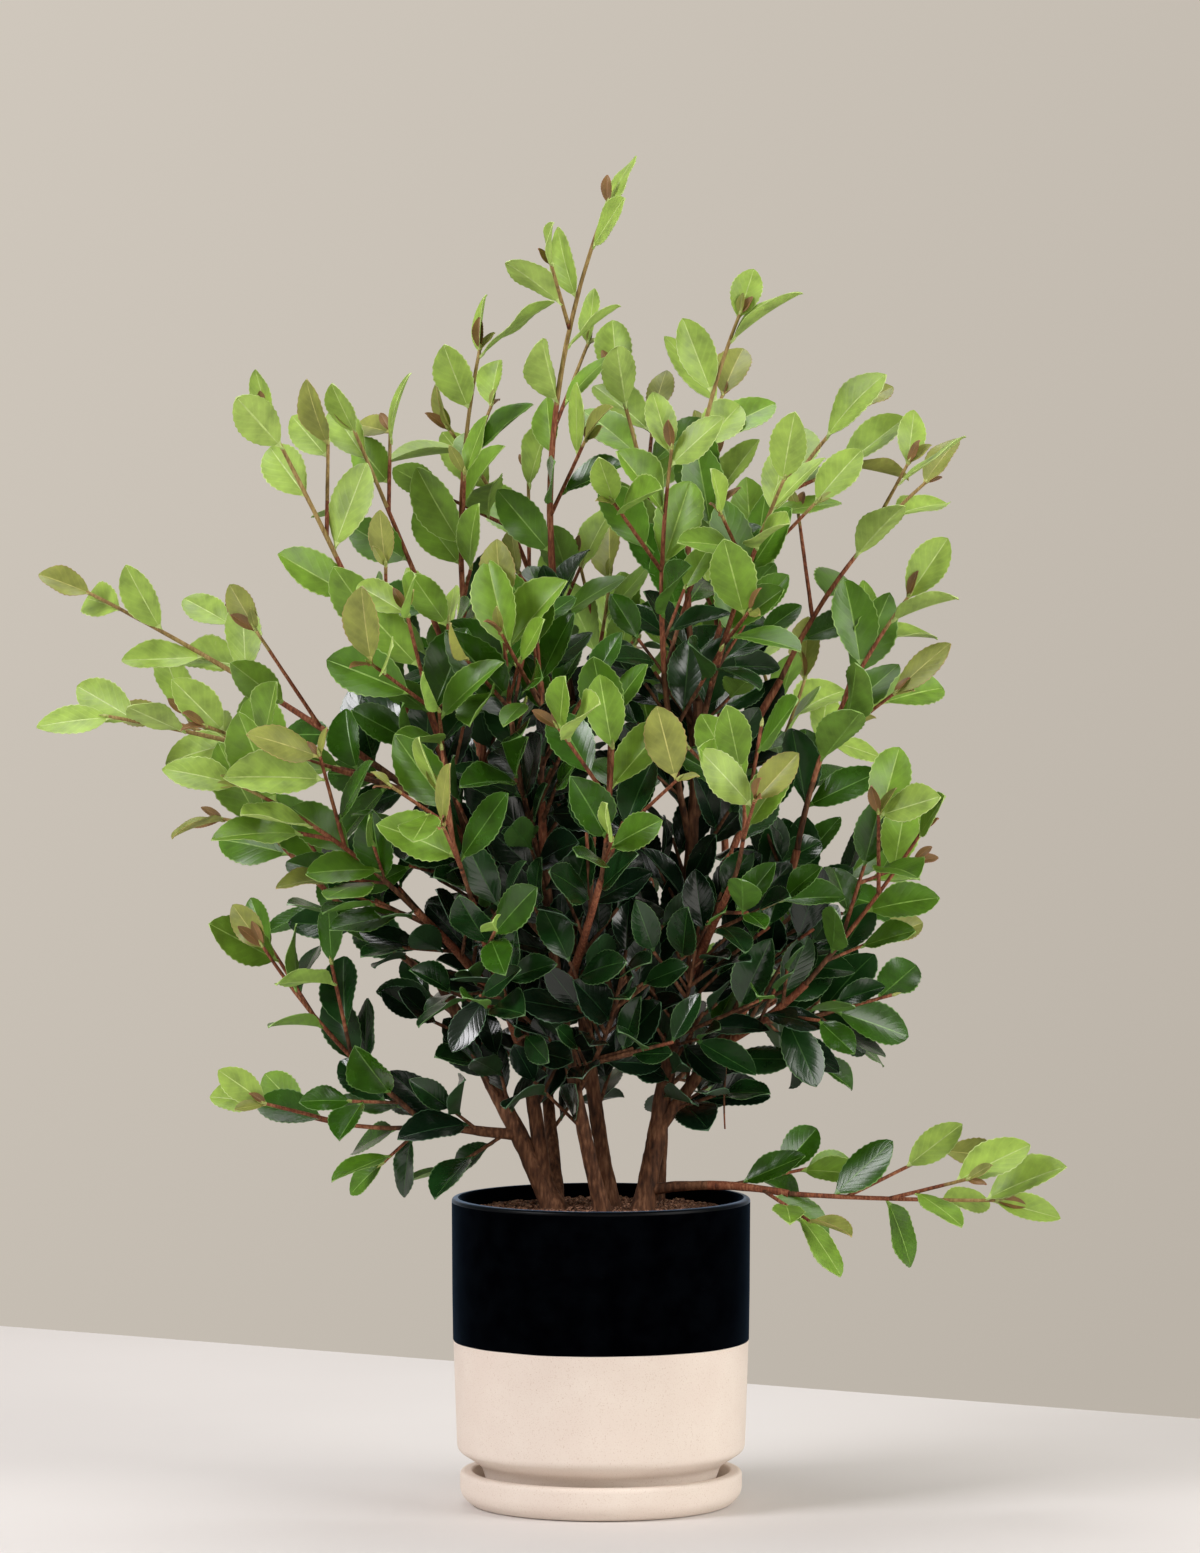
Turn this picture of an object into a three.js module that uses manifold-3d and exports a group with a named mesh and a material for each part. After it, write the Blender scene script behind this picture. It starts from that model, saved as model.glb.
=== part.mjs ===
// Camellia shrub in its glazed pot, with a saucer. Millimetres, +Z up.
// The origin is on the pot's axis, at the flat underside of the saucer.
// A limb is one tapering tube between its root and its tip, which is given by a compass bearing,
// a reach from the axis and a height. A mass of foliage grows from one shoot by a seeded rule.

import * as THREE from 'three';
import Module from 'manifold-3d';

const wasm = await Module();
wasm.setup();

// ---------------------------------------------------------------- driving sizes
const GAP = 0.3;                  // clearance between neighbouring solids
const POT_SIDES = 32;
const SAUCER_RADIUS = 85;
const SAUCER_HEIGHT = 20.5;
const SAUCER_FLOOR = 8;
const SAUCER_WALL = 8;
const FOOT_RADIUS = 67;
const RIM_RADIUS = 89.5;
const RIM_HEIGHT = 185;
const BODY_LOW_RADIUS = 87;
const BODY_LOW_HEIGHT = 34;
const POT_WALL = 6;
const POT_FLOOR = 8;
const SOIL_HEIGHT = 177;          // level of the potting mix round the stems
const SOIL_EDGE_DROP = 0.6;        // how much lower it lies along the wall

const LIMB_SIDES = 6;
const LIMB_RING_STEP = 34;        // mm between the rings of a limb
const FLARE = 0.55;               // extra radius at a root, as a share
const FLARE_LENGTH = 9;
const SHOOT_SIDES = 3;
const SHOOT_RING_STEP = 60;
const BOW_LEFT = 0.8;             // how far a tube's middle may leave its line (mm)
const SHOOT_TIP_RADIUS = 1.0;
const SHOOT_TAPER = 0.0052;       // extra root radius for each mm of length
const LEAF_THICKNESS = 0.025;      // depth of a leaf's keel for each mm of length

const LEAF_WIDTH = 0.56;          // width for each mm of length
const LEAF_WIDEST = 0.47;         // where along the leaf it is widest
const LEAF_DROOP = 0.06;          // how far the tip bends down
const LEAF_SINK = 0.25;           // how far a leaf's root passes the middle of its twig
const LEAF_STEP = 30;             // mm along a twig from leaf to leaf
const BARE_FOOT = 26;             // mm of a shoot without leaves
const LEAF_TURN = 137.5;          // degrees round the twig from leaf to leaf
const LEAF_LEAN = 37;             // degrees between a leaf and its twig
const FORK_LEAN = 38;             // degrees between a side twig and its shoot
const CLEAR_OF_OTHERS = 0.4;      // mm kept to limbs and to other masses
const CLEAR_OF_OWN = 0.1;         // mm kept between leaves of one mass
const TRIES = 4;                  // turns that are tried before a leaf is left out

// Stems and boughs. Columns: name, the limb it leaves (or soil), how far along that limb,
// bearing of its tip (degrees), reach (mm), height (mm), lift and swing of its bow (mm),
// radius at root and at tip (mm). A stem's root is given by STEM_FEET.
const STEM_FEET = {               // bearing, reach
  stem_left: [169, 25],
  stem_left_back: [140, 34],
  stem_centre: [285, 9],
  stem_centre_back: [70, 22],
  stem_right: [350, 24],
  stem_back: [56, 60],
};
const LIMBS = [
  ['stem_left', 'soil', 0, 168, 99, 312, 1, 0, 6.8, 3.4],
  ['stem_left_inner', 'stem_left', 0.12, 162, 80, 484, 0, -1, 4.6, 2.4],
  ['stem_left_back', 'soil', 0, 116, 134, 395, -2, 5, 4.2, 2.3],
  ['stem_centre', 'soil', 0, 237, 65, 426, 1, 10, 4.6, 2.4],
  ['stem_centre_back', 'soil', 0, 120, 35, 483, -9, 0, 4.8, 2.7],
  ['stem_right', 'soil', 0, 0, 58, 484, -8, -4, 6.2, 2.8],
  ['stem_back', 'soil', 0, 79, 127, 400, 8, 8, 4.0, 2.3],
  ['bough_low_right', 'stem_right', 0.06, 345, 116, 190, 4, 1, 3.2, 2.1],
  ['bough_low_left', 'stem_left', 0.36, 185, 106, 231, -1, 0, 3.3, 2.4],
  ['bough_left_middle', 'stem_left_inner', 0.32, 209, 125, 361, 3, 0, 3.1, 2.1],
  ['bough_left_high', 'stem_centre', 0.66, 201, 109, 426, 0, 2, 3.3, 2.5],
  ['bough_right', 'stem_right', 0.18, 350, 119, 395, -11, 0, 3.9, 2.3],
  ['bough_right_low', 'bough_right', 0.32, 342, 128, 316, -2, -4, 2.7, 2.1],
  ['bough_right_top', 'stem_right', 0.78, 10, 110, 496, -2, -3, 2.9, 2.1],
  ['bough_back_right', 'stem_back', 0.5, 58, 164, 400, -1, 0, 3.0, 2.3],
  ['bough_back', 'stem_centre_back', 0.51, 101, 132, 444, 1, 0, 3.1, 2.3],
  ['bough_front', 'stem_centre', 0.5, 270, 110, 382, -1, 0, 2.9, 1.9],
  ['bough_front_right', 'stem_right', 0.42, 311, 119, 381, -2, 1, 3.0, 1.9],
  ['bough_front_left', 'stem_left_inner', 0.24, 233, 126, 370, -5, -2, 3.0, 1.9],
];

// Masses of foliage, outermost first. Columns: name, the limb it leaves, how far along that limb
// (1 is its tip), bearing, reach and height of its shoot's tip, lift and swing, how far its space
// reaches from the shoot (mm), number of side twigs, length of its leaves (mm), seed.
const MASSES = [
  ['foliage_top_leader', 'stem_centre_back', 1, 70, 11, 782, 17, 15, 62, 3, 46, 11],
  ['foliage_top_right', 'stem_right', 1, 20, 89, 716, 11, -12, 62, 2, 48, 12],
  ['foliage_top_left', 'stem_left_inner', 1, 151, 84, 695, 0, -10, 60, 2, 50, 13],
  ['foliage_top_left_back', 'bough_back', 1, 147, 110, 647, 17, -9, 64, 3, 48, 14],
  ['foliage_top_middle', 'stem_right', 0.87, 76, 41, 678, 2, 6, 60, 2, 48, 15],
  ['foliage_top_front', 'stem_right', 0.72, 305, 73, 634, -2, 11, 62, 3, 50, 16],
  ['foliage_top_right_back', 'bough_back_right', 0.8, 53, 113, 628, 2, 1, 64, 3, 50, 17],
  ['foliage_upper_right_tall', 'stem_right', 0.96, 22, 163, 658, 13, -9, 60, 2, 50, 18],
  ['foliage_upper_right_front', 'stem_right', 0.91, 320, 140, 616, 3, 3, 62, 3, 50, 19],
  ['foliage_upper_right', 'bough_right_top', 1, 14, 203, 615, 8, -1, 60, 2, 48, 20],
  ['foliage_upper_left', 'stem_left_inner', 0.92, 180, 148, 646, 1, 0, 60, 2, 50, 21],
  ['foliage_upper_left_tall', 'bough_left_high', 0.8, 196, 205, 651, 4, 1, 58, 2, 50, 22],
  ['foliage_far_left_upper', 'bough_left_high', 0.9, 175, 312, 549, 5, 4, 56, 2, 50, 23],
  ['foliage_far_left_lower', 'bough_left_high', 1, 191, 297, 476, 4, 0, 56, 2, 50, 24],
  ['foliage_left', 'stem_left', 1, 171, 255, 474, -12, -1, 60, 2, 52, 25],
  ['foliage_left_front', 'bough_left_middle', 1, 203, 232, 437, 6, -1, 60, 2, 54, 26],
  ['foliage_lower_left', 'bough_low_left', 1, 186, 203, 337, -6, 0, 58, 2, 48, 27],
  ['foliage_lowest_left', 'bough_low_left', 0.84, 176, 203, 241, -7, -1, 50, 1, 46, 28],
  ['foliage_lowest_right', 'bough_low_right', 1, 355, 237, 185, -1, 0, 56, 2, 50, 29],
  ['foliage_lower_right', 'bough_right_low', 1, 340, 202, 409, -2, 0, 60, 2, 48, 30],
  ['foliage_right', 'bough_right', 1, 351, 185, 546, 10, 1, 62, 2, 52, 31],
  ['foliage_right_middle', 'bough_right', 0.73, 15, 153, 374, 1, 0, 58, 2, 50, 32],
  ['foliage_right_inner', 'bough_right', 0.42, 10, 146, 296, -3, 5, 56, 2, 50, 33],
  ['foliage_back_left', 'stem_left_back', 1, 125, 184, 536, 3, -5, 64, 3, 50, 34],
  ['foliage_back_middle', 'bough_back', 0.88, 88, 160, 555, -8, -1, 62, 3, 50, 35],
  ['foliage_back_right', 'bough_back_right', 1, 54, 217, 492, -4, -1, 64, 3, 50, 36],
  ['foliage_back_upper', 'stem_back', 1, 76, 170, 518, -10, -3, 60, 3, 50, 37],
  ['foliage_back_low_left', 'stem_back', 0.4, 98, 182, 323, -3, -3, 64, 3, 50, 38],
  ['foliage_back_low_right', 'stem_back', 0.3, 50, 181, 318, -5, -3, 64, 3, 50, 39],
  ['foliage_front_left_upper', 'stem_centre', 0.81, 236, 102, 542, -4, 5, 62, 3, 52, 40],
  ['foliage_front_far_left', 'bough_left_high', 0.68, 220, 149, 539, 0, 1, 60, 3, 52, 41],
  ['foliage_front_middle', 'bough_front', 1, 273, 130, 459, -3, 0, 64, 3, 52, 42],
  ['foliage_front_left', 'bough_front_left', 1, 234, 160, 435, -1, 0, 62, 3, 52, 43],
  ['foliage_front_right', 'bough_front_right', 1, 304, 145, 447, -2, -4, 62, 3, 52, 44],
  ['foliage_front_centre', 'stem_centre', 1, 242, 80, 521, 2, -1, 60, 3, 50, 45],
  ['foliage_inner_left', 'stem_left_inner', 0.48, 206, 92, 396, 4, 0, 66, 5, 46, 46],
  ['foliage_inner_front', 'stem_centre', 0.3, 283, 66, 338, -8, 0, 66, 5, 46, 47],
  ['foliage_inner_right', 'stem_right', 0.3, 318, 78, 352, -6, 0, 66, 5, 46, 48],
];

const FABRIC_GREEN = new THREE.MeshStandardMaterial({ color: 0x35572a, roughness: 0.45 });
const BARK_BROWN = new THREE.MeshStandardMaterial({ color: 0x5b4636, roughness: 0.85 });
const POT_GLAZE = new THREE.MeshStandardMaterial({ color: 0x1d2024, roughness: 0.3 });
const STONEWARE = new THREE.MeshStandardMaterial({ color: 0xc9a98c, roughness: 0.8 });
const BARK_CRUMBS = new THREE.MeshStandardMaterial({ color: 0x54402f, roughness: 0.95 });

const group = new THREE.Group();
group.name = 'camellia_in_pot';

// ---------------------------------------------------------------- small helpers
const UP = new THREE.Vector3(0, 0, 1);
const EAST = new THREE.Vector3(1, 0, 0);
const TO_WINDOW = new THREE.Vector3(-0.35, -0.9, 0.25).normalize();
const radians = THREE.MathUtils.degToRad;
const mixed = (a, b, share) => a + (b - a) * share;

function placed(bearing, reach, height) {
  const turn = radians(bearing);
  return new THREE.Vector3(reach * Math.cos(turn), reach * Math.sin(turn), height);
}

// Repeatable numbers from 0 to 1 (mulberry32).
function seeded(seed) {
  let state = seed * 2654435761 >>> 0;
  return () => {
    state = state + 0x6D2B79F5 >>> 0;
    let mix = Math.imul(state ^ state >>> 15, 1 | state);
    mix = mix + Math.imul(mix ^ mix >>> 7, 61 | mix) ^ mix;
    return ((mix ^ mix >>> 14) >>> 0) / 4294967296;
  };
}

function addNode(name, geometry, material) {
  const mesh = new THREE.Mesh(geometry, material);
  mesh.name = name;
  group.add(mesh);
}

function addTurned(name, profile, material) {
  const points = profile.map(([radius, height]) => new THREE.Vector2(radius, height));
  const geometry = new THREE.LatheGeometry(points, POT_SIDES);
  geometry.rotateX(Math.PI / 2);
  addNode(name, geometry, material);
}

function addSolid(name, solid, material) {
  const mesh = solid.getMesh();
  const geometry = new THREE.BufferGeometry();
  geometry.setAttribute('position', new THREE.BufferAttribute(mesh.vertProperties, 3));
  geometry.setIndex(new THREE.BufferAttribute(mesh.triVerts, 1));
  addNode(name, geometry, material);
}

function solidFrom(points, faces) {
  return new wasm.Manifold(new wasm.Mesh({
    numProp: 3,
    vertProperties: Float32Array.from(points.flatMap((point) => point.toArray())),
    triVerts: Uint32Array.from(faces.flat()),
  }));
}

// The largest piece: a sealed hollow is filled and loose scrap is dropped.
function wholePiece(solid) {
  const pieces = solid.decompose();
  return pieces.reduce((a, b) => (a.volume() > b.volume() ? a : b));
}

// ---------------------------------------------------------------- limbs
// A limb runs from start to tip and bows by lift (upwards) and swing (sideways) at its middle.
function limb(start, tip, lift, swing, rootRadius, tipRadius, flare) {
  const chord = tip.clone().sub(start);
  const across = chord.clone().cross(UP).normalize();
  const above = across.clone().cross(chord).normalize();
  const middle = start.clone().add(tip).multiplyScalar(0.5);
  middle.addScaledVector(above, 2 * lift).addScaledVector(across, 2 * swing);
  const curve = new THREE.QuadraticBezierCurve3(start, middle, tip);
  const steep = Math.abs(chord.z) > 0.8 * chord.length();
  const reference = steep ? EAST : UP;
  const length = chord.length();
  const radiusAt = (share) => mixed(rootRadius, tipRadius, share)
    * (1 + flare * Math.exp(-share * length / FLARE_LENGTH));
  const bow = Math.hypot(lift, swing);
  return { curve, reference, length, bow, radiusAt };
}

function frameAt(twig, share) {
  const point = twig.curve.getPoint(share);
  const along = twig.curve.getTangent(share);
  const side = twig.reference.clone().cross(along).normalize();
  return { point, along, side, over: along.clone().cross(side) };
}

function ringAt(twig, share, sides, extra) {
  const { point, along, side, over } = frameAt(twig, share);
  const ends = share === 0 ? -extra : (share === 1 ? extra : 0);
  const radius = twig.radiusAt(share) + extra;
  const ring = [];
  for (let corner = 0; corner < sides; corner++) {
    const turn = 2 * Math.PI * corner / sides;
    ring.push(point.clone().addScaledVector(along, ends)
      .addScaledVector(side, radius * Math.cos(turn))
      .addScaledVector(over, radius * Math.sin(turn)));
  }
  return ring;
}

// A limb that bows more has more rings, so that its tube keeps to its line.
function ringsOf(twig, sides, step, extra = 0) {
  const forBow = Math.ceil(Math.sqrt(twig.bow / BOW_LEFT));
  const count = Math.max(1, Math.round(twig.length / step), forBow);
  const rings = [];
  for (let i = 0; i <= count; i++) {
    rings.push(ringAt(twig, i / count, sides, extra));
  }
  if (twig.radiusAt(0) > 1.2 * twig.radiusAt(0.5)) {
    rings.splice(1, 0, ringAt(twig, FLARE_LENGTH / twig.length, sides, extra));
  }
  return rings;
}

function tube(rings) {
  const sides = rings[0].length;
  const faces = [];
  for (let i = 0; i + 1 < rings.length; i++) {
    for (let k = 0; k < sides; k++) {
      const next = (k + 1) % sides;
      const [a, b] = [i * sides + k, i * sides + next];
      faces.push([a, b, b + sides], [a, b + sides, a + sides]);
    }
  }
  const last = (rings.length - 1) * sides;
  for (let k = 1; k + 1 < sides; k++) {
    faces.push([0, k + 1, k], [last, last + k, last + k + 1]);
  }
  return solidFrom(rings.flat(), faces);
}

// ---------------------------------------------------------------- room between the pieces
// A piece is a convex body: its corners, and the directions in which it is tried for clearance.
function piece(corners, directions, extra = []) {
  const centre = new THREE.Vector3();
  corners.forEach((corner) => centre.add(corner));
  centre.divideScalar(corners.length);
  const radius = Math.max(...corners.map((corner) => corner.distanceTo(centre)));
  return { corners, directions, extra, centre, radius };
}

function piecesOf(twig, sides, step) {
  const rings = ringsOf(twig, sides, step);
  const parts = [];
  for (let i = 0; i + 1 < rings.length; i++) {
    const { along, side, over } = frameAt(twig, (i + 0.5) / (rings.length - 1));
    parts.push(piece([...rings[i], ...rings[i + 1]], [along, side, over]));
  }
  return parts;
}

function spaceAlong(a, b, direction) {
  const span = (corners) => {
    const values = corners.map((corner) => corner.dot(direction));
    return [Math.min(...values), Math.max(...values)];
  };
  const [lowA, highA] = span(a.corners);
  const [lowB, highB] = span(b.corners);
  return Math.max(lowA - highB, lowB - highA);
}

function apart(a, b, clearance) {
  const between = a.centre.clone().sub(b.centre);
  if (between.length() > a.radius + b.radius + clearance) {
    return true;
  }
  const tried = [between.normalize(), ...a.directions, ...b.directions, ...a.extra, ...b.extra];
  for (const one of a.directions) {
    for (const two of b.directions) {
      const cross = one.clone().cross(two);
      if (cross.lengthSq() > 1e-4) {
        tried.push(cross.normalize());
      }
    }
  }
  return tried.some((direction) => spaceAlong(a, b, direction) >= clearance);
}

// ---------------------------------------------------------------- leaves
function leaf(root, along, upper, length) {
  const across = upper.clone().cross(along).normalize();
  const face = along.clone().cross(across);
  const thick = length * LEAF_THICKNESS;
  const at = (share, aside, above) => root.clone()
    .addScaledVector(along, share * length)
    .addScaledVector(across, aside)
    .addScaledVector(face, above);
  const half = length * LEAF_WIDTH / 2;
  const corners = [
    at(-LEAF_SINK / length, 0, 0),
    at(1, 0, -length * LEAF_DROOP),
    at(LEAF_WIDEST, half, 0),
    at(LEAF_WIDEST, -half, 0),
    at(LEAF_WIDEST, 0, -thick),
  ];
  const edges = [[0, 2], [0, 3], [1, 2], [1, 3]].map(([a, b]) => (
    corners[b].clone().sub(corners[a]).cross(face).normalize()));
  return piece(corners, [along, across, face], edges);
}

const LEAF_FACES = [[0, 3, 2], [1, 2, 3], [3, 0, 4], [1, 3, 4], [2, 1, 4], [0, 2, 4]];

// ---------------------------------------------------------------- pot, saucer and potting mix
const footHeight = SAUCER_FLOOR + GAP;
const innerRadius = RIM_RADIUS - POT_WALL;
const innerLowRadius = BODY_LOW_RADIUS - POT_WALL;
const soilFloor = footHeight + POT_FLOOR + GAP;
const saucerInner = SAUCER_RADIUS - SAUCER_WALL;

addTurned('saucer', [
  [0, 0],
  [SAUCER_RADIUS - 10, 0],
  [SAUCER_RADIUS - 4, 2],
  [SAUCER_RADIUS - 1, 6],
  [SAUCER_RADIUS, 11],
  [SAUCER_RADIUS - 0.4, SAUCER_HEIGHT - 2.5],
  [SAUCER_RADIUS - 2, SAUCER_HEIGHT - 0.5],
  [SAUCER_RADIUS - 4, SAUCER_HEIGHT],
  [saucerInner + 1, SAUCER_HEIGHT - 0.6],
  [saucerInner, SAUCER_HEIGHT - 2.5],
  [saucerInner - 1.5, SAUCER_FLOOR + 2],
  [saucerInner - 4, SAUCER_FLOOR],
  [0, SAUCER_FLOOR],
], STONEWARE);

addTurned('pot', [
  [0, footHeight],
  [FOOT_RADIUS - 1.5, footHeight],
  [FOOT_RADIUS, footHeight + 1.5],
  [FOOT_RADIUS + 1.8, BODY_LOW_HEIGHT - 16.8],
  [FOOT_RADIUS + 5.5, BODY_LOW_HEIGHT - 12.3],
  [BODY_LOW_RADIUS - 7, BODY_LOW_HEIGHT - 5.5],
  [BODY_LOW_RADIUS - 2.2, BODY_LOW_HEIGHT - 2],
  [BODY_LOW_RADIUS - 0.4, BODY_LOW_HEIGHT],
  [BODY_LOW_RADIUS, BODY_LOW_HEIGHT + 4],
  [RIM_RADIUS - 0.8, RIM_HEIGHT * 0.6],
  [RIM_RADIUS, RIM_HEIGHT - 4],
  [RIM_RADIUS - 1, RIM_HEIGHT - 1],
  [RIM_RADIUS - 3, RIM_HEIGHT],
  [innerRadius + 1, RIM_HEIGHT - 1],
  [innerRadius, RIM_HEIGHT - 4],
  [innerLowRadius, BODY_LOW_HEIGHT + 8.5],
  [FOOT_RADIUS - 4, footHeight + POT_FLOOR + 8],
  [FOOT_RADIUS - 8, footHeight + POT_FLOOR],
  [0, footHeight + POT_FLOOR],
], POT_GLAZE);

addTurned('potting_mix', [
  [0, soilFloor],
  [FOOT_RADIUS - 8.8, soilFloor],
  [FOOT_RADIUS - 4.8, soilFloor + 8],
  [innerLowRadius - 0.8, BODY_LOW_HEIGHT + 8.8],
  [innerRadius - GAP - 0.4, SOIL_HEIGHT - SOIL_EDGE_DROP],
  [innerRadius - 10, SOIL_HEIGHT],
  [0, SOIL_HEIGHT],
], BARK_CRUMBS);

// ---------------------------------------------------------------- stems and boughs
const limbs = {};
for (const [name, parent, at, bearing, reach, height, lift, swing, thick, thin] of LIMBS) {
  const tip = placed(bearing, reach, height);
  const fromSoil = parent === 'soil';
  const start = fromSoil
    ? placed(...STEM_FEET[name], SOIL_HEIGHT - thick)
    : limbs[parent].curve.getPoint(at);
  limbs[name] = limb(start, tip, lift, swing, thick, thin, fromSoil ? FLARE : FLARE / 2);
  let solid = tube(ringsOf(limbs[name], LIMB_SIDES, LIMB_RING_STEP));
  if (fromSoil) {
    solid = solid.trimByPlane([0, 0, 1], SOIL_HEIGHT + GAP);
  } else {
    solid = solid.subtract(tube(ringsOf(limbs[parent], LIMB_SIDES, LIMB_RING_STEP, GAP)));
  }
  addSolid(name, wholePiece(solid), BARK_BROWN);
}

// ---------------------------------------------------------------- masses of foliage
// Everything that a twig or a leaf keeps clear of, with the mass or limb that it belongs to.
const standing = [];
const potSides = 12;
const potCorners = [];
for (let k = 0; k < potSides; k++) {
  for (const height of [0, RIM_HEIGHT]) {
    potCorners.push(placed(360 * k / potSides, RIM_RADIUS * 1.03, height));
  }
}
standing.push({ owner: 'pot', body: piece(potCorners, [UP, EAST, new THREE.Vector3(0, 1, 0)]) });
for (const [name, twig] of Object.entries(limbs)) {
  for (const body of piecesOf(twig, LIMB_SIDES, LIMB_RING_STEP)) {
    standing.push({ owner: name, body });
  }
}

const masses = MASSES.map(([
  name, parent, at, bearing, reach, height, lift, swing, space, forks, leafLength, seed,
]) => {
  const { point, along } = frameAt(limbs[parent], at);
  const start = at === 1 ? point.addScaledVector(along, GAP) : point;
  const tip = placed(bearing, reach, height);
  const root = SHOOT_TIP_RADIUS + SHOOT_TAPER * start.distanceTo(tip);
  const shoot = limb(start, tip, lift, swing, root, SHOOT_TIP_RADIUS, 0);
  for (const body of piecesOf(shoot, SHOOT_SIDES, SHOOT_RING_STEP)) {
    standing.push({ owner: name, body });
  }
  return {
    name, parent, forks, leafLength, space, twigs: [shoot], leaves: [], random: seeded(seed),
    trail: shoot.curve.getPoints(8),
  };
});

const inSpace = (mass, point) => (
  mass.trail.some((mark) => mark.distanceTo(point) < mass.space));

// A side direction at a turn round a twig, flattened a little towards the level.
function outward(frame, turn) {
  const out = frame.side.clone().multiplyScalar(Math.cos(turn))
    .addScaledVector(frame.over, Math.sin(turn));
  out.z = out.z * 0.7 + 0.12;
  return out.addScaledVector(frame.along, -out.dot(frame.along)).normalize();
}

function fits(mass, body, ownBodies) {
  const clear = standing.every(({ owner, body: other }) => (
    owner === mass.name || apart(body, other, CLEAR_OF_OTHERS)));
  return clear && ownBodies.every((other) => apart(body, other, CLEAR_OF_OWN));
}

// Side twigs leave the shoot in turn round it; each is shorter nearer the tip.
for (const mass of masses) {
  const shoot = mass.twigs[0];
  for (let fork = 0; fork < mass.forks; fork++) {
    const share = 0.2 + 0.55 * (fork + mass.random()) / mass.forks;
    const frame = frameAt(shoot, share);
    const length = (78 - 34 * share) * mixed(0.85, 1.15, mass.random());
    const lean = radians(FORK_LEAN);
    for (let attempt = 0; attempt < TRIES; attempt++) {
      const turn = radians(LEAF_TURN * (fork + attempt * 0.5) + 60 * mass.random());
      const tip = frame.point.clone()
        .addScaledVector(frame.along, length * Math.cos(lean))
        .addScaledVector(outward(frame, turn), length * Math.sin(lean));
      const radius = SHOOT_TIP_RADIUS + 0.3;
      const twig = limb(frame.point, tip, 0, 0, radius, SHOOT_TIP_RADIUS, 0);
      const bodies = piecesOf(twig, SHOOT_SIDES, SHOOT_RING_STEP);
      if (bodies.every((body) => fits(mass, body, [])) && inSpace(mass, tip)) {
        mass.twigs.push(twig);
        bodies.forEach((body) => standing.push({ owner: mass.name, body, twig }));
        break;
      }
    }
  }
}

// Leaves stand alternately round each twig, and one closes its tip. They turn their faces partly
// to the sky, partly out of the crown and partly to the window that the shrub grew at.
for (const mass of masses) {
  for (const [order, twig] of mass.twigs.entries()) {
    const otherTwigs = standing.filter((one) => (
      one.owner === mass.name && one.twig && one.twig !== twig)).map((one) => one.body);
    let run = order === 0 ? BARE_FOOT : BARE_FOOT * 0.7;
    let turn = radians(360 * mass.random());
    while (run < twig.length + LEAF_STEP) {
      const atTip = run >= twig.length - 4;
      const share = atTip ? 0.985 : run / twig.length;
      const frame = frameAt(twig, share);
      const size = mass.leafLength * mixed(0.86, 1.14, mass.random()) * (atTip ? 0.8 : 1);
      for (let attempt = 0; attempt < TRIES; attempt++) {
        const lean = radians(atTip ? 14 + 16 * attempt : LEAF_LEAN + 9 * attempt);
        const out = outward(frame, turn + attempt * 0.45 * (attempt % 2 ? 1 : -1));
        const along = frame.along.clone().multiplyScalar(Math.cos(lean))
          .addScaledVector(out, Math.sin(lean));
        const upper = UP.clone().multiplyScalar(0.45)
          .addScaledVector(frame.point.clone().setZ(0).normalize(), 0.35)
          .addScaledVector(TO_WINDOW, mixed(0.2, 1.1, mass.random()))
          .addScaledVector(frame.side, mixed(-0.35, 0.35, mass.random()));
        const blade = leaf(frame.point, along, upper, size);
        const reached = inSpace(mass, blade.corners[1]);
        if (reached && fits(mass, blade, [...mass.leaves, ...otherTwigs])) {
          mass.leaves.push(blade);
          break;
        }
      }
      turn += radians(LEAF_TURN);
      run = atTip ? Infinity : run + LEAF_STEP * mixed(0.85, 1.15, mass.random());
    }
  }
  mass.leaves.forEach((body) => standing.push({ owner: mass.name, body }));
}

for (const mass of masses) {
  const twigs = mass.twigs.map((twig) => tube(ringsOf(twig, SHOOT_SIDES, SHOOT_RING_STEP)));
  const leaves = mass.leaves.map((blade) => solidFrom(blade.corners, LEAF_FACES));
  const parent = tube(ringsOf(limbs[mass.parent], LIMB_SIDES, LIMB_RING_STEP, GAP));
  const solid = wasm.Manifold.union([...twigs, ...leaves]).subtract(parent);
  addSolid(mass.name, wholePiece(solid).simplify(0.06), FABRIC_GREEN);
}

export default group;
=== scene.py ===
# %% [markdown]
# # A camellia shrub in its pot
# A young camellia with several stems stands in a two-tone stoneware pot on a saucer.
# This lesson dresses the measured solids: bark with relief on the stems and boughs, leathery
# toothed leaves on fine twigs, a satin glaze over bare clay, and crumbs of bark on the soil.
# The measured solids come in as a frame, in metres, and every new piece is made in that frame.

# %% The frame
import math

import bpy
import numpy as np
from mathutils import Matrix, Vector, noise


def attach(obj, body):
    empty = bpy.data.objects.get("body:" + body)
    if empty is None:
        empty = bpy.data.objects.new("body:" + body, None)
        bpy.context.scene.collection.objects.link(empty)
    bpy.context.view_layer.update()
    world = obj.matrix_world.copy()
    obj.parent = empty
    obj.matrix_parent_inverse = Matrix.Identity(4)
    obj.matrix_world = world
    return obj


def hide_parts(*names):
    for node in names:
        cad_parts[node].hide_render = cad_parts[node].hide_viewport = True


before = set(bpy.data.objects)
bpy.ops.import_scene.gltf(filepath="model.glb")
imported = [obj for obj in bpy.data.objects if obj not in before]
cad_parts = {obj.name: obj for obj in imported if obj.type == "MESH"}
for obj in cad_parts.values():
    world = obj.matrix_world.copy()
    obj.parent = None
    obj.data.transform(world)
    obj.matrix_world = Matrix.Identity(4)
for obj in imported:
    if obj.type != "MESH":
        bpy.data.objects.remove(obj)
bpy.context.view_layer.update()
MM = 0.001
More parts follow.
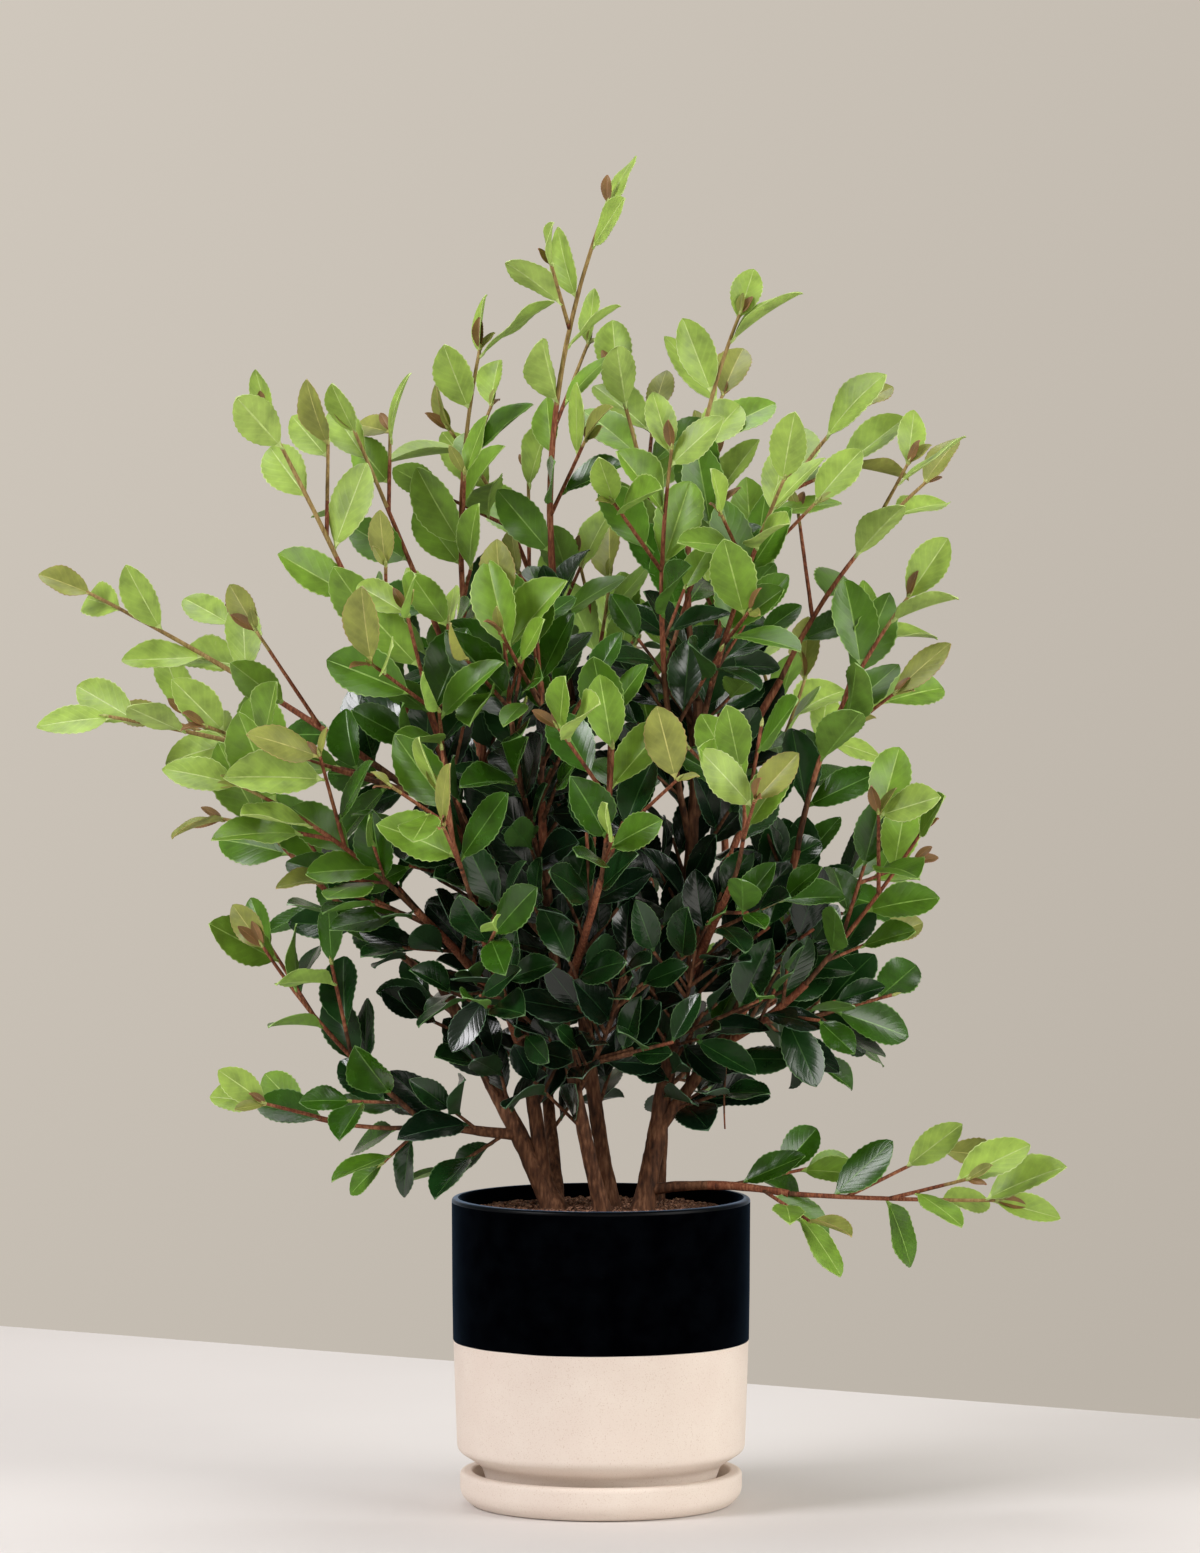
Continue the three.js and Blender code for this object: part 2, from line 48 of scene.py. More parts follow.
print("solids in the frame:", len(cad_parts))

# %% [markdown]
# ## Tools of the workshop
# Colours are written as they look on a screen, and one function turns them into light values.
# A material is built from small nodes: one function adds a node with its settings and its links.
# Random draws come from one small generator with a seed, so that every run grows the same shrub.

# %% Colours and nodes
def linear(hex_colour):
    channels = [int(hex_colour[i:i + 2], 16) / 255 for i in (1, 3, 5)]
    return tuple(c / 12.92 if c < 0.04045 else ((c + 0.055) / 1.055) ** 2.4 for c in channels) + (1,)


def add_node(tree, kind, settings=None, **inputs):
    """A node with its settings; each input is a value or the socket that feeds it."""
    node = tree.nodes.new(kind)
    for key, value in (settings or {}).items():
        setattr(node, key, value)
    for key, value in inputs.items():
        socket = node.inputs[int(key[1:]) if key[1:].isdigit() else key.replace("_", " ")]
        if isinstance(value, bpy.types.NodeSocket):
            tree.links.new(value, socket)
        else:
            socket.default_value = value
    return node


class Surface:
    """A material with a Principled shader, and a short way to add nodes to it."""

    def __init__(self, name, base, roughness, **sockets):
        self.material = bpy.data.materials.new(name)
        self.material.use_nodes = True
        self.tree = self.material.node_tree
        self.shader = self.tree.nodes["Principled BSDF"]
        self.shader.inputs["Base Color"].default_value = linear(base)
        self.shader.inputs["Roughness"].default_value = roughness
        for socket, value in sockets.items():
            self.shader.inputs[socket.replace("_", " ")].default_value = value

    def add(self, kind, settings=None, **inputs):
        return add_node(self.tree, kind, settings, **inputs)

    def feed(self, value, socket):
        self.tree.links.new(value, self.shader.inputs[socket])

    def place(self):
        return self.add("ShaderNodeTexCoord").outputs["Object"]

    def noise(self, size_mm, detail=3.0, where=None):
        node = self.add("ShaderNodeTexNoise", Vector=where or self.place(),
                        Scale=1 / (size_mm * MM), Detail=detail)
        return node.outputs["Fac"]

    def ramp(self, value, *stops):
        node = self.add("ShaderNodeValToRGB", Fac=value)
        elements = node.color_ramp.elements
        while len(elements) < len(stops):
            elements.new(0.5)
        for element, (position, colour) in zip(elements, stops):
            element.position = position
            element.color = linear(colour) if isinstance(colour, str) else (colour,) * 3 + (1,)
        return node.outputs["Color"]

    def math(self, operation, a, b=0.0):
        return self.add("ShaderNodeMath", {"operation": operation}, _0=a, _1=b).outputs[0]

    def colour(self, value):
        self.feed(value, "Base Color")

    def two_tones(self, size_mm, detail, *stops):
        self.colour(self.ramp(self.noise(size_mm, detail), *stops))

    def rough(self, value, low, high):
        ranged = self.add("ShaderNodeMapRange", Value=value, To_Min=low, To_Max=high)
        self.feed(ranged.outputs["Result"], "Roughness")

    def bump(self, height, depth_mm, strength=1.0, under=None):
        node = self.add("ShaderNodeBump", Height=height, Distance=depth_mm * MM, Strength=strength)
        if under:
            self.tree.links.new(under, node.inputs["Normal"])
        self.feed(node.outputs["Normal"], "Normal")
        return node.outputs["Normal"]


# %% Random draws
MASK = 0xFFFFFFFF


def seeded(seed):
    """Repeatable numbers from 0 to 1, by the same integer steps as the measured solids' rule."""
    state = (seed * 2654435761) & MASK

    def draw():
        nonlocal state
        state = (state + 0x6D2B79F5) & MASK
        mix = ((state ^ (state >> 15)) * (1 | state)) & MASK
        mix = ((mix + (((mix ^ (mix >> 7)) * (61 | mix)) & MASK)) & MASK) ^ mix
        return ((mix ^ (mix >> 14)) & MASK) / 4294967296

    return draw


def mixed(a, b, share):
    return a + (b - a) * share


# %% Meshes
def show(name, data):
    """A new object in the scene, at the origin."""
    made = bpy.data.objects.new(name, data)
    bpy.context.scene.collection.objects.link(made)
    return made


def mesh_object(name, points, quads, slots, materials, uv=None, sharp=None):
    """One object from arrays: corners in metres, faces of four corners and a material slot each."""
    points = np.asarray(points, dtype=np.float32)
    quads = np.asarray(quads, dtype=np.int32)
    mesh = bpy.data.meshes.new(name)
    mesh.vertices.add(len(points))
    mesh.vertices.foreach_set("co", points.ravel())
    mesh.loops.add(quads.size)
    mesh.loops.foreach_set("vertex_index", quads.ravel())
    mesh.polygons.add(len(quads))
    mesh.polygons.foreach_set("loop_start", np.arange(0, quads.size, 4, dtype=np.int32))
    mesh.polygons.foreach_set("material_index", np.asarray(slots, dtype=np.int32))
    mesh.update(calc_edges=True)
    if uv is not None:
        layer = mesh.uv_layers.new(name="blade")
        layer.data.foreach_set("uv", np.asarray(uv, dtype=np.float32)[quads.ravel()].ravel())
    mesh.shade_smooth()
    if sharp:
        mesh.set_sharp_from_angle(angle=math.radians(sharp))
    for material in materials:
        mesh.materials.append(material)
    print(f"{name}: {2 * len(quads)} triangles")
    return show(name, mesh)


def turns_of(sides):
    """The angles at which a ring's corners stand."""
    return 2 * np.pi * np.arange(sides) / sides


def circle(sides, side, over):
    """A ring of radius 1 in the plane of two directions."""
    turns = turns_of(sides)
    return np.outer(np.cos(turns), side) + np.outer(np.sin(turns), over)


def level_ring(sides, radius, heights):
    """A ring round the pot's axis, at one height or at a height for each corner."""
    turns = turns_of(sides)
    return np.stack([radius * np.cos(turns), radius * np.sin(turns),
                     np.broadcast_to(np.asarray(heights, float), sides)], -1)


def ring_quads(rings, sides, first=0):
    """Faces between neighbouring rings of a tube, seen from outside."""
    ring, side = np.meshgrid(np.arange(rings - 1), np.arange(sides), indexing="ij")
    after = (side + 1) % sides
    low, high = first + ring * sides, first + (ring + 1) * sides
    return np.stack([low + side, low + after, high + after, high + side], -1).reshape(-1, 4)


# %% [markdown]
# ## Stems and boughs
# The shrub rises on several stems from one clump. They are old wood: brown, finely cracked bark
# that turns redder and smoother towards the thin ends. A limb could be a skinned curve; here it
# is a tube of rings, because each ring can carry the bark's own ridges and the swelling at a fork.
# Every limb is a row of named sizes: the limb it leaves, how far along, and where its tip is.

# %% Sizes of the limbs, in millimetres
GAP = 0.3
SOIL_HEIGHT = 177
RIM_RADIUS = 89.5
RIM_HEIGHT = 185
LIMB_SIDES, LIMB_RING_STEP = 6, 34
BOW_LEFT = 0.8                    # how far a measured tube's middle may leave its line
FLARE, FLARE_LENGTH = 0.55, 9
FLARE_SHOWS = 1.2                 # a limb this much wider at its foot gets a ring for its flare
STEM_FEET = {
    "stem_left": (169, 25),
    "stem_left_back": (140, 34),
    "stem_centre": (285, 9),
    "stem_centre_back": (70, 22),
    "stem_right": (350, 24),
    "stem_back": (56, 60),
}
# name, the limb it leaves, how far along it, bearing, reach, height, lift, swing, radii
LIMBS = [
    ("stem_left", "soil", 0, 168, 99, 312, 1, 0, 6.8, 3.4),
    ("stem_left_inner", "stem_left", 0.12, 162, 80, 484, 0, -1, 4.6, 2.4),
    ("stem_left_back", "soil", 0, 116, 134, 395, -2, 5, 4.2, 2.3),
    ("stem_centre", "soil", 0, 237, 65, 426, 1, 10, 4.6, 2.4),
    ("stem_centre_back", "soil", 0, 120, 35, 483, -9, 0, 4.8, 2.7),
    ("stem_right", "soil", 0, 0, 58, 484, -8, -4, 6.2, 2.8),
    ("stem_back", "soil", 0, 79, 127, 400, 8, 8, 4.0, 2.3),
    ("bough_low_right", "stem_right", 0.06, 345, 116, 190, 4, 1, 3.2, 2.1),
    ("bough_low_left", "stem_left", 0.36, 185, 106, 231, -1, 0, 3.3, 2.4),
    ("bough_left_middle", "stem_left_inner", 0.32, 209, 125, 361, 3, 0, 3.1, 2.1),
    ("bough_left_high", "stem_centre", 0.66, 201, 109, 426, 0, 2, 3.3, 2.5),
    ("bough_right", "stem_right", 0.18, 350, 119, 395, -11, 0, 3.9, 2.3),
    ("bough_right_low", "bough_right", 0.32, 342, 128, 316, -2, -4, 2.7, 2.1),
    ("bough_right_top", "stem_right", 0.78, 10, 110, 496, -2, -3, 2.9, 2.1),
    ("bough_back_right", "stem_back", 0.5, 58, 164, 400, -1, 0, 3.0, 2.3),
    ("bough_back", "stem_centre_back", 0.51, 101, 132, 444, 1, 0, 3.1, 2.3),
    ("bough_front", "stem_centre", 0.5, 270, 110, 382, -1, 0, 2.9, 1.9),
    ("bough_front_right", "stem_right", 0.42, 311, 119, 381, -2, 1, 3.0, 1.9),
    ("bough_front_left", "stem_left_inner", 0.24, 233, 126, 370, -5, -2, 3.0, 1.9),
]


# %% A limb's line
UP = np.array((0.0, 0.0, 1.0))
EAST = np.array((1.0, 0.0, 0.0))
TO_WINDOW = np.array((-0.35, -0.9, 0.25)) / math.sqrt(0.995)


def unit(vector):
    return vector / math.sqrt(vector @ vector)


def placed(bearing, reach, height):
    turn = math.radians(bearing)
    return np.array((reach * math.cos(turn), reach * math.sin(turn), height))


class Limb:
    """A tapering limb from start to tip that bows by lift and swing at its middle."""

    def __init__(self, start, tip, lift, swing, thick, thin, flare=0.0):
        chord = tip - start
        across = unit(np.cross(chord, UP))
        above = unit(np.cross(across, chord))
        self.start, self.tip = start, tip
        self.control = (start + tip) / 2 + above * 2 * lift + across * 2 * swing
        self.length = math.sqrt(chord @ chord)
        self.bow = math.hypot(lift, swing)
        self.reference = EAST if abs(chord[2]) > 0.8 * self.length else UP
        self.thick, self.thin, self.flare = thick, thin, flare

    def point(self, share):
        rest = 1 - share
        return (rest * rest * self.start + 2 * rest * share * self.control
                + share * share * self.tip)

    def frame(self, share):
        """Point, direction, and two directions across it."""
        along = unit((1 - share) * (self.control - self.start) + share * (self.tip - self.control))
        side = unit(np.cross(self.reference, along))
        return self.point(share), along, side, np.cross(along, side)

    def radius(self, share):
        flare = self.flare * math.exp(-share * self.length / FLARE_LENGTH)
        return mixed(self.thick, self.thin, share) * (1 + flare)

    def rings(self, sides, step):
        for_bow = math.ceil(math.sqrt(self.bow / BOW_LEFT))
        count = max(1, int(self.length / step + 0.5), for_bow)
        shares = [i / count for i in range(count + 1)]
        if self.radius(0) > FLARE_SHOWS * self.radius(0.5):
            shares.insert(1, FLARE_LENGTH / self.length)
        rings = []
        for share in shares:
            point, _, side, over = self.frame(share)
            rings.append(point + self.radius(share) * circle(sides, side, over))
        return rings


limbs = {}
for name, parent, at, bearing, reach, height, lift, swing, thick, thin in LIMBS:
    rooted = parent == "soil"
    start = (placed(*STEM_FEET[name], SOIL_HEIGHT - thick) if rooted
             else limbs[parent].point(at))
    limbs[name] = Limb(start, placed(bearing, reach, height), lift, swing, thick, thin,
                       FLARE if rooted else FLARE / 2)
print("limbs:", len(limbs))

# %% [markdown]
# ## How the foliage grows
# A camellia shoot carries single leaves that turn round it by the golden angle, with side shoots
# in some of the leaf axils. Scattering leaves over a surface would be quicker, but leaves that
# stand on real twigs leave true gaps. So each mass grows from one shoot by a seeded rule: side
# twigs first, then leaves, and whatever would touch a limb or a neighbour is left out.

# %% Sizes of the foliage, in millimetres
SHOOT_SIDES, SHOOT_RING_STEP = 3, 60
SHOOT_TIP_RADIUS, SHOOT_TAPER = 1.0, 0.0052
LEAF_THICKNESS, LEAF_WIDTH, LEAF_WIDEST = 0.025, 0.56, 0.47
LEAF_DROOP, LEAF_SINK, LEAF_STEP, BARE_FOOT = 0.06, 0.25, 30, 26
LEAF_TURN, LEAF_LEAN, FORK_LEAN = 137.5, 37, 38
CLEAR_OF_OTHERS, CLEAR_OF_OWN, TRIES = 0.4, 0.1, 4
TIP_LEAN, TIP_LEAN_STEP, LEAN_STEP, TURN_STEP = 14, 16, 9, 0.45    # what each try adds
FACE_UP, FACE_OUT, FACE_WINDOW, FACE_ASIDE = 0.45, 0.35, (0.2, 1.1), (-0.35, 0.35)
FLATTENED, LIFTED = 0.7, 0.12     # side shoots keep nearer to the level
LEAF_SPREAD, STEP_SPREAD, TIP_SIZE, TIP_SHARE = (0.86, 1.14), (0.85, 1.15), 0.8, 0.985
FORK_FROM, FORK_RUN, FORK_LENGTH, FORK_SHORTER, FORK_TURN = 0.2, 0.55, 78, 34, 60
TIP_CLOSE = 4                     # a leaf this near to a twig's tip closes it
FIRST_SEED = 11                   # each mass has the next seed
# name, limb, how far along it, bearing, reach, height, lift, swing, space, side twigs, leaf
MASSES = [
    ("top_leader", "stem_centre_back", 1, 70, 11, 782, 17, 15, 62, 3, 46),
    ("top_right", "stem_right", 1, 20, 89, 716, 11, -12, 62, 2, 48),
    ("top_left", "stem_left_inner", 1, 151, 84, 695, 0, -10, 60, 2, 50),
    ("top_left_back", "bough_back", 1, 147, 110, 647, 17, -9, 64, 3, 48),
    ("top_middle", "stem_right", 0.87, 76, 41, 678, 2, 6, 60, 2, 48),
    ("top_front", "stem_right", 0.72, 305, 73, 634, -2, 11, 62, 3, 50),
    ("top_right_back", "bough_back_right", 0.8, 53, 113, 628, 2, 1, 64, 3, 50),
    ("upper_right_tall", "stem_right", 0.96, 22, 163, 658, 13, -9, 60, 2, 50),
    ("upper_right_front", "stem_right", 0.91, 320, 140, 616, 3, 3, 62, 3, 50),
    ("upper_right", "bough_right_top", 1, 14, 203, 615, 8, -1, 60, 2, 48),
    ("upper_left", "stem_left_inner", 0.92, 180, 148, 646, 1, 0, 60, 2, 50),
    ("upper_left_tall", "bough_left_high", 0.8, 196, 205, 651, 4, 1, 58, 2, 50),
    ("far_left_upper", "bough_left_high", 0.9, 175, 312, 549, 5, 4, 56, 2, 50),
    ("far_left_lower", "bough_left_high", 1, 191, 297, 476, 4, 0, 56, 2, 50),
    ("left", "stem_left", 1, 171, 255, 474, -12, -1, 60, 2, 52),
    ("left_front", "bough_left_middle", 1, 203, 232, 437, 6, -1, 60, 2, 54),
    ("lower_left", "bough_low_left", 1, 186, 203, 337, -6, 0, 58, 2, 48),
    ("lowest_left", "bough_low_left", 0.84, 176, 203, 241, -7, -1, 50, 1, 46),
    ("lowest_right", "bough_low_right", 1, 355, 237, 185, -1, 0, 56, 2, 50),
    ("lower_right", "bough_right_low", 1, 340, 202, 409, -2, 0, 60, 2, 48),
    ("right", "bough_right", 1, 351, 185, 546, 10, 1, 62, 2, 52),
    ("right_middle", "bough_right", 0.73, 15, 153, 374, 1, 0, 58, 2, 50),
    ("right_inner", "bough_right", 0.42, 10, 146, 296, -3, 5, 56, 2, 50),
    ("back_left", "stem_left_back", 1, 125, 184, 536, 3, -5, 64, 3, 50),
    ("back_middle", "bough_back", 0.88, 88, 160, 555, -8, -1, 62, 3, 50),
    ("back_right", "bough_back_right", 1, 54, 217, 492, -4, -1, 64, 3, 50),
    ("back_upper", "stem_back", 1, 76, 170, 518, -10, -3, 60, 3, 50),
    ("back_low_left", "stem_back", 0.4, 98, 182, 323, -3, -3, 64, 3, 50),
    ("back_low_right", "stem_back", 0.3, 50, 181, 318, -5, -3, 64, 3, 50),
    ("front_left_upper", "stem_centre", 0.81, 236, 102, 542, -4, 5, 62, 3, 52),
    ("front_far_left", "bough_left_high", 0.68, 220, 149, 539, 0, 1, 60, 3, 52),
    ("front_middle", "bough_front", 1, 273, 130, 459, -3, 0, 64, 3, 52),
    ("front_left", "bough_front_left", 1, 234, 160, 435, -1, 0, 62, 3, 52),
    ("front_right", "bough_front_right", 1, 304, 145, 447, -2, -4, 62, 3, 52),
    ("front_centre", "stem_centre", 1, 242, 80, 521, 2, -1, 60, 3, 50),
    ("inner_left", "stem_left_inner", 0.48, 206, 92, 396, 4, 0, 66, 5, 46),
    ("inner_front", "stem_centre", 0.3, 283, 66, 338, -8, 0, 66, 5, 46),
    ("inner_right", "stem_right", 0.3, 318, 78, 352, -6, 0, 66, 5, 46),
]


# %% Room between the pieces
class Body:
    """A convex body: its corners, and the directions in which it is tried for clearance."""

    def __init__(self, corners, directions, extra=()):
        self.corners = np.asarray(corners)
        self.directions = np.asarray(directions)
        self.tried = np.concatenate([self.directions, np.asarray(extra).reshape(-1, 3)])
        self.centre = self.corners.mean(axis=0)
        self.radius = math.sqrt(((self.corners - self.centre) ** 2).sum(axis=1).max())


def apart(a, b, clearance):
    between = a.centre - b.centre
    if math.sqrt(between @ between) > a.radius + b.radius + clearance:
        return True
    crosses = np.cross(a.directions[:, None], b.directions[None]).reshape(-1, 3)
    lengths = np.sqrt((crosses ** 2).sum(axis=1))
    crosses = crosses[lengths > 0.01] / lengths[lengths > 0.01, None]
    tried = np.concatenate([unit(between)[None], a.tried, b.tried, crosses]).T
    on_a, on_b = a.corners @ tried, b.corners @ tried
    space = np.maximum(on_a.min(axis=0) - on_b.max(axis=0), on_b.min(axis=0) - on_a.max(axis=0))
    return space.max() >= clearance


class Standing:
    """Everything that a new twig or leaf keeps clear of."""

    def __init__(self):
        self.bodies, self.owners = [], []
        self.centres, self.radii = np.empty((4000, 3)), np.empty(4000)

    def add(self, owner, body):
        count = len(self.bodies)
        self.centres[count], self.radii[count] = body.centre, body.radius
        self.bodies.append(body)
        self.owners.append(owner)

    def near(self, body, clearance):
        count = len(self.bodies)
        offset = self.centres[:count] - body.centre
        reach = self.radii[:count] + body.radius + clearance
        return np.nonzero((offset ** 2).sum(axis=1) < reach ** 2)[0]

    def clear(self, owner, body, clearance):
        return all(self.owners[i] == owner or apart(body, self.bodies[i], clearance)
                   for i in self.near(body, clearance))


def bodies_of(limb, sides, step):
    rings = limb.rings(sides, step)
    count = len(rings) - 1
    return [Body(np.concatenate([rings[i], rings[i + 1]]), limb.frame((i + 0.5) / count)[1:])
            for i in range(count)]


standing = Standing()
POT_SIDES = 12
pot_corners = [placed(360 * k / POT_SIDES, RIM_RADIUS * 1.03, height)
               for k in range(POT_SIDES) for height in (0, RIM_HEIGHT)]
standing.add("pot", Body(pot_corners, [UP, EAST, np.array((0.0, 1.0, 0.0))]))
for name, limb in limbs.items():
    for body in bodies_of(limb, LIMB_SIDES, LIMB_RING_STEP):
        standing.add(name, body)


# %% A leaf and a mass
class Blade:
    """One leaf: where it is rooted, its frame, its length, and how far out its twig it stands."""

    narrow = 1.0

    def __init__(self, root, along, upper, length, share):
        self.root, self.along, self.length, self.share = root, along, length, share
        self.across = unit(np.cross(upper, along))
        self.face = np.cross(along, self.across)
        half, deep = length * LEAF_WIDTH / 2, length * LEAF_THICKNESS
        widest = root + along * LEAF_WIDEST * length
        corners = [root - along * LEAF_SINK,
                   root + along * length - self.face * length * LEAF_DROOP,
                   widest + self.across * half,
                   widest - self.across * half,
                   widest - self.face * deep]
        edges = [unit(np.cross(corners[b] - corners[a], self.face))
                 for a, b in ((0, 2), (0, 3), (1, 2), (1, 3))]
        self.tip = corners[1]
        self.body = Body(corners, [along, self.across, self.face], edges)


class Mass:
    """A mass of foliage: its shoot, side twigs and leaves, and the space that holds them."""

    def __init__(self, name, shoot, space, forks, leaf_length, seed):
        self.name, self.space, self.forks = name, space, forks
        self.leaf_length, self.draw = leaf_length, seeded(seed)
        self.twigs, self.leaves, self.twig_bodies = [shoot], [], []
        self.trail = np.array([shoot.point(i / 8) for i in range(9)])

    def holds(self, point):
        return ((self.trail - point) ** 2).sum(axis=1).min() < self.space ** 2


# %% Growing twigs and leaves
def outward(place, turn):
    """A direction across a twig, flattened a little towards the level."""
    _, along, side, over = place
    out = side * math.cos(turn) + over * math.sin(turn)
    out[2] = out[2] * FLATTENED + LIFTED
    return unit(out - along * (out @ along))


def grow_twig(mass, shoot, share, length, turn_of, thick):
    place = shoot.frame(share)
    lean = math.radians(FORK_LEAN)
    for attempt in range(TRIES):
        out = outward(place, turn_of(attempt))
        tip = place[0] + place[1] * length * math.cos(lean) + out * length * math.sin(lean)
        twig = Limb(place[0], tip, 0, 0, thick, SHOOT_TIP_RADIUS)
        bodies = bodies_of(twig, SHOOT_SIDES, SHOOT_RING_STEP)
        clear = all(standing.clear(mass.name, body, CLEAR_OF_OTHERS) for body in bodies)
        if clear and mass.holds(tip):
            mass.twigs.append(twig)
            for body in bodies:
                standing.add(mass.name, body)
                mass.twig_bodies.append((twig, body))
            return twig
    return None


def grow_leaf(mass, twig, share, turn, size, at_tip, near):
    place = twig.frame(share)
    for attempt in range(TRIES):
        lean = math.radians(TIP_LEAN + TIP_LEAN_STEP * attempt if at_tip
                            else LEAF_LEAN + LEAN_STEP * attempt)
        out = outward(place, turn + attempt * TURN_STEP * (1 if attempt % 2 else -1))
        along = place[1] * math.cos(lean) + out * math.sin(lean)
        level = unit(place[0] * (1, 1, 0))
        upper = UP * FACE_UP + level * FACE_OUT + TO_WINDOW * mixed(*FACE_WINDOW, mass.draw())
        upper += place[2] * mixed(*FACE_ASIDE, mass.draw())
        blade = Blade(place[0], along, upper, size, share)
        if (mass.holds(blade.tip) and standing.clear(mass.name, blade.body, CLEAR_OF_OTHERS)
                and all(apart(blade.body, other, CLEAR_OF_OWN) for other in near)):
            mass.leaves.append(blade)
            return


def leaf_up(mass, twig, first, step, scale=1.0):
    """Leaves stand alternately round a twig, and one closes its tip."""
    others = [body for other, body in mass.twig_bodies if other is not twig]
    run = first
    turn = math.radians(360 * mass.draw())
    while run < twig.length + LEAF_STEP:
        at_tip = run >= twig.length - TIP_CLOSE
        size = scale * mass.leaf_length * mixed(*LEAF_SPREAD, mass.draw())
        near = [leaf.body for leaf in mass.leaves] + others
        grow_leaf(mass, twig, TIP_SHARE if at_tip else run / twig.length, turn,
                  size * (TIP_SIZE if at_tip else 1), at_tip, near)
        turn += math.radians(LEAF_TURN)
        run = math.inf if at_tip else run + step * mixed(*STEP_SPREAD, mass.draw())


# %% The masses of the crown
masses = []
for seed, row in enumerate(MASSES, FIRST_SEED):
    name, parent, at, bearing, reach, height, lift, swing, space, forks, leaf_length = row
    name = "foliage_" + name
    point, along, _, _ = limbs[parent].frame(at)
    start = point + along * GAP if at == 1 else point
    tip = placed(bearing, reach, height)
    thick = SHOOT_TIP_RADIUS + SHOOT_TAPER * math.dist(start, tip)
    shoot = Limb(start, tip, lift, swing, thick, SHOOT_TIP_RADIUS)
    for body in bodies_of(shoot, SHOOT_SIDES, SHOOT_RING_STEP):
        standing.add(name, body)
    masses.append(Mass(name, shoot, space, forks, leaf_length, seed))

for mass in masses:
    for fork in range(mass.forks):
        share = FORK_FROM + FORK_RUN * (fork + mass.draw()) / mass.forks
        length = (FORK_LENGTH - FORK_SHORTER * share) * mixed(*STEP_SPREAD, mass.draw())
        grow_twig(mass, mass.twigs[0], share, length,
                  lambda attempt: math.radians(LEAF_TURN * (fork + attempt * 0.5)
                                               + FORK_TURN * mass.draw()),
                  SHOOT_TIP_RADIUS + 0.3)
for mass in masses:
    for order, twig in enumerate(mass.twigs):
        leaf_up(mass, twig, BARE_FOOT if order == 0 else BARE_FOOT * 0.7, LEAF_STEP)
    for blade in mass.leaves:
        standing.add(mass.name, blade.body)
print("leaves of the rule:", sum(len(mass.leaves) for mass in masses))

# %% [markdown]
# ## Finer twigs
# A real shoot forks once more than the measured solids do. The same rule is carried on: short
# spurs between the first side twigs, and leafy spurs on the old limbs deep in the crown, dark
# with age and painted shade, which fill its shady middle while the foot of the shrub stays open.

# %% Spurs on the shoots
SPUR_LENGTH, SPUR_SPREAD, SPUR_THICKNESS = 34, (0.7, 1.3), 0.95
SPUR_LEAF, SPUR_FOOT, SPUR_STEP, SPUR_FROM, SPUR_RUN = 0.84, 9, 15, 0.06, 0.8
INNER_LENGTH, INNER_SPREAD, INNER_THICKNESS = 46, (0.6, 1.2), 1.2
INNER_SPACE, INNER_LEAF, INNER_FOOT, INNER_STEP, INNER_EVERY = 74, 42, 10, 13, 12
INNER_SEED = 200
OPEN_FOOT = 218                   # no spurs below this height
DENSE_TO = 0.62                   # spurs on the limbs stay in this part of the crown
SPURS_TO = 0.74                   # and spurs on the shoots in this part
CORE = np.array((-5, 0, 345))     # the shady middle of the crown
CORE_REACH = np.array((205, 160, 265))


def light_at(point):
    """0 in the middle of the crown and about 1 at its outside."""
    away = (point - CORE) / CORE_REACH
    return math.sqrt(away @ away)


rule_leaves = {mass.name: len(mass.leaves) for mass in masses}
for mass in masses:
    spurs = 2 + 2 * mass.forks
    for spur in range(spurs):
        share = SPUR_FROM + SPUR_RUN * (spur + mass.draw()) / spurs
        if light_at(mass.twigs[0].point(share)) > SPURS_TO:
            continue
        length = SPUR_LENGTH * mixed(*SPUR_SPREAD, mass.draw())
        twig = grow_twig(mass, mass.twigs[0], share, length,
                         lambda attempt: math.radians(LEAF_TURN * (spur + 0.5 * attempt)
                                                      + 360 * mass.draw()), SPUR_THICKNESS)
        if twig:
            leaf_up(mass, twig, SPUR_FOOT, SPUR_STEP, SPUR_LEAF)
    for blade in mass.leaves[rule_leaves[mass.name]:]:
        standing.add(mass.name, blade.body)

# %% Spurs on the old limbs
DEAD_TWIG = ("bough_right", 0.45, (74, -32, 229))   # a bare one that hangs from the crown
OVER_RIM = 28                     # the lowest bough has spurs from this far inside the rim
inner = []
for order, (name, limb) in enumerate(limbs.items()):
    spurs = Mass(name, limb, INNER_SPACE, 0, INNER_LEAF, INNER_SEED + order)
    if name == DEAD_TWIG[0]:
        dead = Limb(limb.point(DEAD_TWIG[1]), np.array(DEAD_TWIG[2], float), 0, 3, 0.9, 0.5)
        spurs.twigs.append(dead)
        for body in bodies_of(dead, SHOOT_SIDES, SHOOT_RING_STEP):
            standing.add(name, body)
    wanted = int(limb.length / INNER_EVERY)
    for spur in range(wanted):
        share = (spur + spurs.draw()) / wanted
        place = limb.point(share)
        over_rim = name == "bough_low_right" and place[0] > RIM_RADIUS - OVER_RIM and spur % 2
        if (place[2] < OPEN_FOOT or light_at(place) > DENSE_TO) and not over_rim:
            continue
        length = INNER_LENGTH * mixed(*INNER_SPREAD, spurs.draw())
        twig = grow_twig(spurs, limb, share, length,
                         lambda attempt: math.radians(LEAF_TURN * spur + 90 * attempt
                                                      + 360 * spurs.draw()), INNER_THICKNESS)
        if twig:
            leaf_up(spurs, twig, INNER_FOOT, INNER_STEP)
    for blade in spurs.leaves:
        standing.add(name, blade.body)
    spurs.twigs = spurs.twigs[1:]
    inner.append(spurs)
